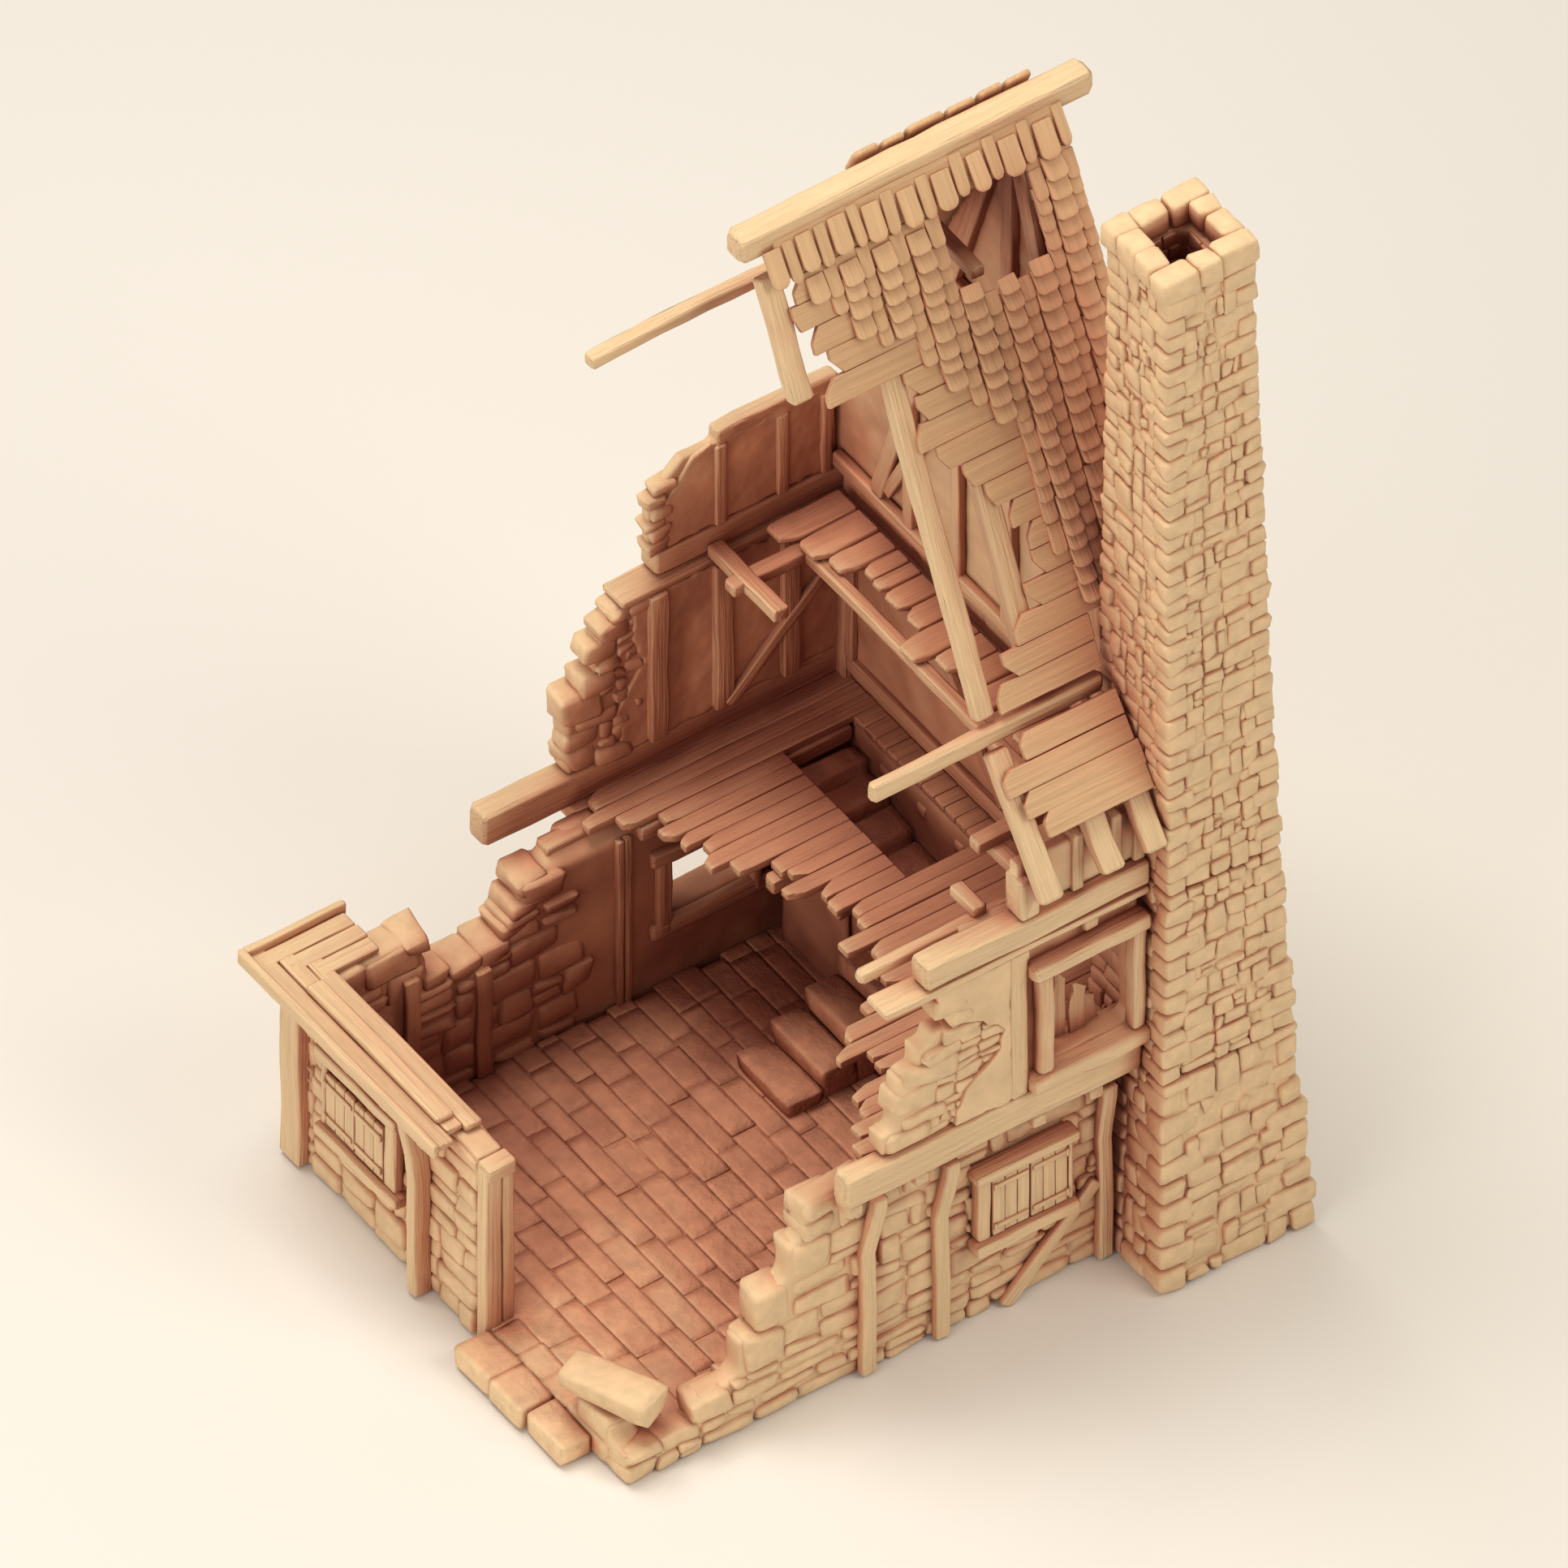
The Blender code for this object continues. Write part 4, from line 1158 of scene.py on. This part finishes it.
def roofBoards(rng):
    piece = Piece(rng)
    wide = roofBoard["wide"]
    y = 9.9
    while y < 68:
        run = min(wide / steepLong, 68.4 - y)
        middle = y + run / 2
        left = edgeAt(roofBoard["ends"], middle) + rng.uniform(-2.5, 2)
        right = 149.4 + rng.uniform(-1.2, 0.8) if middle < 16 else 178.2
        runs = [(left, right)]
        if roofBoard["hole"][0] < middle < roofBoard["hole"][1]:
            runs = [(left, 138 + rng.uniform(-2, 1)), (165 + rng.uniform(-1, 2), right)]
        for a, b in runs:
            if b - a > 3:
                skew = rng.choice((-0.29, 0.29))
                broken = [(0, 0.42, 1, skew), (rng.uniform(1.2, 3.5) / (b - a), 1, 1, 0), (1, 1, 1, 0)]
                z = slopeAt("steep", middle, 1.4 * steepLong / 1.6)
                piece.stick([(a, middle, z), (b, middle, z)], steepUp, wide - 0.12, 1.7, 0.32, 0.08, broken, 14)
        y += run
    for y0, y1, left in roofBoard["eaves"]:
        middle = (y0 + y1) / 2
        z = slopeAt("shallow", middle, 3.2)
        right = 151.6 + rng.uniform(-1, 0.5)
        broken = [(0, 0.6, 1, rng.choice((-0.19, 0.19))), (0.07, 1, 1, 0), (1, 1, 1, 0)]
        piece.stick([(left - rng.uniform(0, 2), middle, z), (right, middle, z)], shallowUp, 6.75, 1.9, 0.35, 0.1,
                    broken, 10)
    piece.cast("roof_boards", boarding, top, ["sheathing_front"])


loft = {
    "bands": [(134.5, 143, 142), (125, 134, 145.5), (117.5, 125, 148), (112, 117.3, 153.5), (107, 111.8, 152),
              (99, 106.8, 153), (91, 98.8, 152), (82, 90.8, 145), (74, 81.8, 150), (66, 73.8, 151.5), (58, 65.8, 150),
              (50, 57.8, 153), (42, 49.8, 151), (34, 41.8, 152), (26, 33.8, 154), (18, 25.8, 156)],  # y0, y1, left end
    "sticks": (((145.5, 18, 130.4), (149, 131.5, 134)), ((124, 131, 130.4), (149, 135.5, 134)),
               ((127, 117.7, 130.6), (131.5, 147.2, 134.4)), ((106, 2.4, 134), (110, 13, 137.6)),
               ((120, 20, 134), (148, 24.5, 137.6)), ((124, 12, 131), (128, 27, 134.4)),
               ((101, -1.4, 130.9), (150, 4.6, 134.2))),
}


def loftTimber(rng):
    piece = Piece(rng)
    for y0, y1, left in loft["bands"]:
        uneven = [(0, 0.7, 0.9, rng.uniform(-0.1, 0.1)), (0.25, 1, 1, 0), (1, 1, 1, 0)]
        z = 135.5 + rng.uniform(-0.2, 0.2)
        y = (y0 + y1) / 2
        piece.stick([(left - rng.uniform(0, 1.5), y, z), (164, y, z)], (0, 0, 1), y1 - y0 - 0.2, 2.3, 0.7, 0.2,
                    uneven, 8)
    piece.cast("loft_boards", timber, top, ["loft_floor"])
    piece = Piece(rng)
    piece.beams(loft["sticks"], 0.6, 0.25)
    piece.cast("loft_sticks", timber, top, ["loft_trimmer"])
    piece = Piece(rng)
    piece.beam((112.2, -9.3, 138.7), (118, -2, 152), 0.9, 0.3)
    for x in (129, 140.5, 147.5):
        piece.beam((x, -7.8, 138.7), (x + 3.4, -3, 158), 0.6, 0.2)
    for x in (130, 148.7, 162):
        piece.beam((x, 147, 138.7), (x + 3.4, 149.3, 166), 0.5, 0.25)
    piece.beam((131, 147.8, 165.5), (167.4, 152.2, 170.5), 0.8, 0.3)
    piece.cast("attic_wall_sticks", timber, top)


gable = {
    "inner": 165.9,  # x
    "rails": ((16.5, 147, 141, 145.6), (24, 121, 200, 204.6), (42, 103, 244, 248.2)),  # y0, y1, z0, z1
    "outerRails": ((15, 152.5, 130.8, 137, 0.6, 0.8), (25.5, 120, 198, 203.4, 0, 0.7), (46.5, 99, 246, 250.8, 0, 0.7),
                   (70, 75.4, 136.5, 308, -0.2, 0.7)),  # the same, then how proud and how round
    "outerStuds": (15.8, 42, 99, 146.4),  # y
    "edgeStones": ((109.8, 116.5, 138.8, 143.2), (110.6, 117, 143, 147.4), (109.4, 116, 147.2, 150.2),
                   (111.2, 117.5, 150, 154.6), (109.2, 115.6, 154.4, 158.4), (112, 119, 158.2, 161.6)),
    "plaster": [(114.6, 139), (114.2, 150.9), (117.5, 158.3), (121.5, 164.2), (126, 166.6), (131, 167), (166, 167),
                (166, 139)],
}


def gableTimber(rng):
    face = gable["inner"]
    mid = roof["ridgeY"]
    piece = Piece(rng)
    for y0, y1, z0, z1 in gable["rails"]:
        piece.beam((face - 1.4, y0, z0), (face + 1.4, y1, z1), 0.6, 0.25)
    piece.beam((face - 1.2, 70.4, 145), (face + 1.6, 75.2, 312), 0.6, 0.25)
    for y in (32, 52, 93, 113):
        piece.beam((face - 1.1, y, 145), (face + 1.3, y + 4, 201), 0.5, 0.2)
    for y in (52, 89.6):
        piece.beam((face - 1.1, y, 204), (face + 1.3, y + 3.8, 245), 0.5, 0.2)
    for sign in (-1, 1):
        piece.stick([(face, mid + sign * 56, 146), (face, mid + sign * 3, slopeAt("steep", mid + 3, -8))], (1, 0, 0),
                    5, 2.8, 0.6, 0.2)
        piece.stick([(face, mid + sign * 52, 149), (face, mid + sign * 26, 199)], (1, 0, 0), 3.6, 2.2, 0.5, 0.2)
    piece.cast("gable_sticks", timber, top, ["gable_timbers"])

    near, far = outerFace
    piece = Piece(rng)
    for y0, y1, z0, z1, proud, radius in gable["outerRails"]:
        piece.beam((near, y0, z0), (far + proud, y1, z1), radius, 0.3)
    for y in gable["outerStuds"]:
        level = min(198.0, slopeAt("steep", min(y + 2, 140), -7))
        piece.beam((near, y, 136.5), (far - 0.2, y + 4.8, level), 0.6, 0.3)
    for y0, y1 in ((48, 68), (98, 78)):
        piece.stick([(175.7, y0, 139), (175.7, y1, 197)], (1, 0, 0), 4, 2.4, 0.6, 0.2)
        piece.stick([(175.7, y0 + (y1 - y0) * 0.3, 204), (175.7, y1, 245)], (1, 0, 0), 3.6, 2.4, 0.6, 0.2)
    for sign, foot in ((-1, 56), (1, 60)):
        piece.stick([(175.8, mid + sign * far, slopeAt("steep", mid + far, -9)) for far in (foot, 2)], (1, 0, 0),
                    5.4, 2.8, 0.7, 0.3)
    for x in (132, 150, 166):
        piece.beam((x, 151, 138.6), (x + 4.6, 153.8, 166), 0.6, 0.3)
    piece.cast("gable_outer_sticks", timber, top)
    piece = Piece(rng)
    for x0, x1, z0, z1 in gable["edgeStones"]:
        piece.block((x0, 147.2, z0), (x1, 152.4, z1), 1.2, 0.7)
    piece.cast("attic_edge_stones", stone, top)
    plasterSheet("attic_plaster", gable["plaster"], 147.9, 149.6, top)


def roofTimber():
    rng = np.random.default_rng(71)
    roofFrame(rng)
    roofBoards(rng)
    loftTimber(rng)
    gableTimber(rng)


coat = {
    "wide": 5.8, "narrow": 4.1, "long": 11.0, "thick": 1.35,
    "pitch": 4.8 / steepLong,
    "proud": (1.75, 0.0),  # how far a wide column and a narrow one stand off
    "topRow": {"y": 62.2, "long": 14.5, "proud": (2.0, 0.7)},
    "frontEdge": [(14, 147), (18.4, 148), (21, 146), (29, 144), (36, 142), (41, 133), (44, 127), (48, 121),
                  (51, 113.6), (54, 108), (61.4, 95), (66, 88), (70, 87)],  # (y, x) of the ragged side, eaves to ridge
    "backEdge": [(8, 158), (14, 157), (34, 152), (50, 148), (58, 138), (66, 126)],
    "hole": {"x": (139, 164.5), "y": (51.2, 62)},
    "tongue": [(0, 0.3, 0.75, 0), (0.035, 0.6, 1, 0), (0.1, 0.86, 1, 0), (0.19, 1, 1, 0), (1, 0.97, 1, 0)],
}


def shingle(piece, x, wide, low, long, proud, side):
    # side is 1 on the near slope and -1 on the far one
    high = min(low + long / steepLong, 69.6)
    tilt = piece.rng.uniform(-0.35, 0.35)
    ends = []
    for at, y, rise in ((x + tilt, low, 3.1 + proud), (x, high, 1.7 + proud * 0.35)):
        z = slopeAt("steep", y, rise * (steepLong / 1.35))
        ends.append((at, y if side > 0 else 2 * roof["ridgeY"] - y, z))
    piece.stick(ends, steepUp if side > 0 else steepBack, wide - 0.2, coat["thick"], 0.3, 0.05, coat["tongue"], 20)


def shingleColumn(piece, x, wide, isWide, side, edge):
    rng = piece.rng
    pitch = coat["pitch"]
    holeX, holeY = coat["hole"]["x"], coat["hole"]["y"]
    slip = rng.uniform(-0.5, 0.5) + (0 if isWide else pitch * 0.45)
    beside = side > 0 and holeX[0] < x < holeX[1]
    y = 15.0 if side > 0 else 10.5
    while y < 60.5 and wide > 2:
        ragged = edgeAt(edge, y) + rng.uniform(-1.5, 1.5)
        inHole = beside and holeY[0] < y + slip < holeY[1]
        underHole = beside and holeY[0] - pitch < y + slip <= holeY[0]
        if x > ragged and not inHole:
            long = coat["long"] * rng.uniform(0.93, 1.07)
            shingle(piece, x + rng.uniform(-0.2, 0.2), wide, y + slip + rng.uniform(-0.3, 0.3),
                    8.5 if underHole else long, coat["proud"][not isWide] + rng.uniform(0, 0.4), side)
        y += pitch
    if x > edgeAt(edge, 66) - 2:
        row = coat["topRow"]
        shingle(piece, x, wide - 0.5, row["y"] + rng.uniform(-0.5, 0.3) + (0 if isWide else 0.7), row["long"],
                row["proud"][not isWide], side)


def farSlope(piece):
    # boards under the far shingles, then the tops of the ridge tiles, which show over the ridge beam
    rng = piece.rng
    y = 11.0
    while y < 66:
        reach = edgeAt(coat["backEdge"], y) - rng.uniform(0, 6)
        z = slopeAt("steep", y, 1.4 * steepLong / 1.6)
        far = 2 * roof["ridgeY"] - y
        piece.stick([(reach, far, z), (178.2, far, z)], steepBack, 4.8 + 0.6, 1.7, 0.3, 0.1, None, 20)
        y += coat["pitch"]
    x = 122.5
    while x < 171:
        wide = rng.uniform(7.5, 12)
        crest = 329.2 + rng.uniform(-0.5, 0.6)
        piece.stick([(x + wide / 2, 81.6, crest - 9), (x + wide / 2, 77.7, crest)], steepBack, wide - 0.6, 1.8, 0.7,
                    0.1, [(0, 1, 1, 0), (0.8, 1, 1, 0), (1, 0.8, 0.8, 0)], 20)
        x += wide


def shingleCoat():
    rng = np.random.default_rng(83)
    for side, edge, name, node in ((1, coat["frontEdge"], "front_shingles", "shingles_front"),
                                   (-1, coat["backEdge"], "back_shingles", "roof_back")):
        piece = Piece(rng)
        x, isWide = 88.0, True
        while x < 177.8:
            wide = min(coat["wide" if isWide else "narrow"] * rng.uniform(0.92, 1.1), 178.8 - x)
            shingleColumn(piece, x + wide / 2, wide, isWide, side, edge)
            x += wide
            isWide = not isWide
        if side < 0:
            farSlope(piece)
        piece.cast(name, shingling, top, [node])


def atticWalls():
    for node in ("attic_wall_front", "attic_wall_back", "attic_gable"):
        trowelled(node, plaster, top, 1.2 if node == "attic_gable" else 1.0)


groundStone()
groundTimber()
print("ground storey ready")
chimneyStone()
print("chimney ready")
upperTimber()
upperWalls()
print("upper storey ready")
roofTimber()
shingleCoat()
atticWalls()
print("roof storey ready")

room = {
    "floor": "#E9E7E3",
    "reach": 3.0,  # metres
    "drop": -0.0006,
    "air": "#F3EEE6",
    "airPower": 0.42,
    "aim": (0.02, 0.0, 0.14),
    "lamps": (("key", (0.45, -0.75, 0.95), 0.6, 4.2, "#FFF4E2"), ("fill", (-1.0, -0.3, 0.6), 0.8, 4.8, "#FFF0E2"),
              ("top", (-0.1, 0.36, 1.38), 0.7, 12.5, "#FFF6EA")),  # name, place, size, power, colour
}
view = {"azimuth": math.radians(-35), "elevation": math.radians(45), "wide": 0.3864, "centre": (0.0388, 0.1728),
        "away": 1.5}


def studio():
    reach, drop = room["reach"], room["drop"]
    floorMesh = bpy.data.meshes.new("studio_floor")
    corners = ((-1, -1), (1, -1), (1, 1), (-1, 1))
    floorMesh.from_pydata([(x * reach, y * reach, drop) for x, y in corners], [], [(0, 1, 2, 3)])
    floor = bpy.data.objects.new("studio_floor", floorMesh)
    link(floor)
    paper = bpy.data.materials.new("matt_paper")
    paper.use_nodes = True
    shader = paper.node_tree.nodes["Principled BSDF"]
    shader.inputs["Base Color"].default_value = toLinear(room["floor"])
    shader.inputs["Roughness"].default_value = 0.9
    floorMesh.materials.append(paper)
    world = bpy.data.worlds.new("soft_room")
    bpy.context.scene.world = world
    world.use_nodes = True
    air = world.node_tree.nodes["Background"]
    air.inputs["Color"].default_value = toLinear(room["air"])
    air.inputs["Strength"].default_value = room["airPower"]
    bpy.context.scene.view_settings.view_transform = "Standard"
    for name, place, size, power, colour in room["lamps"]:
        lamp = bpy.data.lights.new(name, "AREA")
        lamp.size = size
        lamp.energy = power
        lamp.color = toLinear(colour)[:3]
        light = bpy.data.objects.new(name, lamp)
        light.location = place
        aim = np.array(room["aim"]) - np.array(place)
        link(light)
        light.rotation_euler = (math.acos(-aim[2] / np.linalg.norm(aim)), 0, math.atan2(aim[1], aim[0]) - math.pi / 2)
    camera = bpy.data.cameras.new("camera")
    camera.type = "ORTHO"
    camera.ortho_scale = view["wide"]
    camera.clip_end = 10
    eye = bpy.data.objects.new("camera", camera)
    azimuth, elevation = view["azimuth"], view["elevation"]
    right = np.array([math.cos(azimuth), math.sin(azimuth), 0])
    back = np.array([math.sin(azimuth) * math.cos(elevation), -math.cos(azimuth) * math.cos(elevation),
                     math.sin(elevation)])
    across, above = view["centre"]
    centre = np.array([cornerX, cornerY, 0]) / 1000 + right * across + np.cross(back, right) * above
    eye.location = centre + back * view["away"]
    eye.rotation_euler = (math.pi / 2 - elevation, 0, azimuth)
    link(eye)
    bpy.context.scene.camera = eye


studio()
print("studio ready")
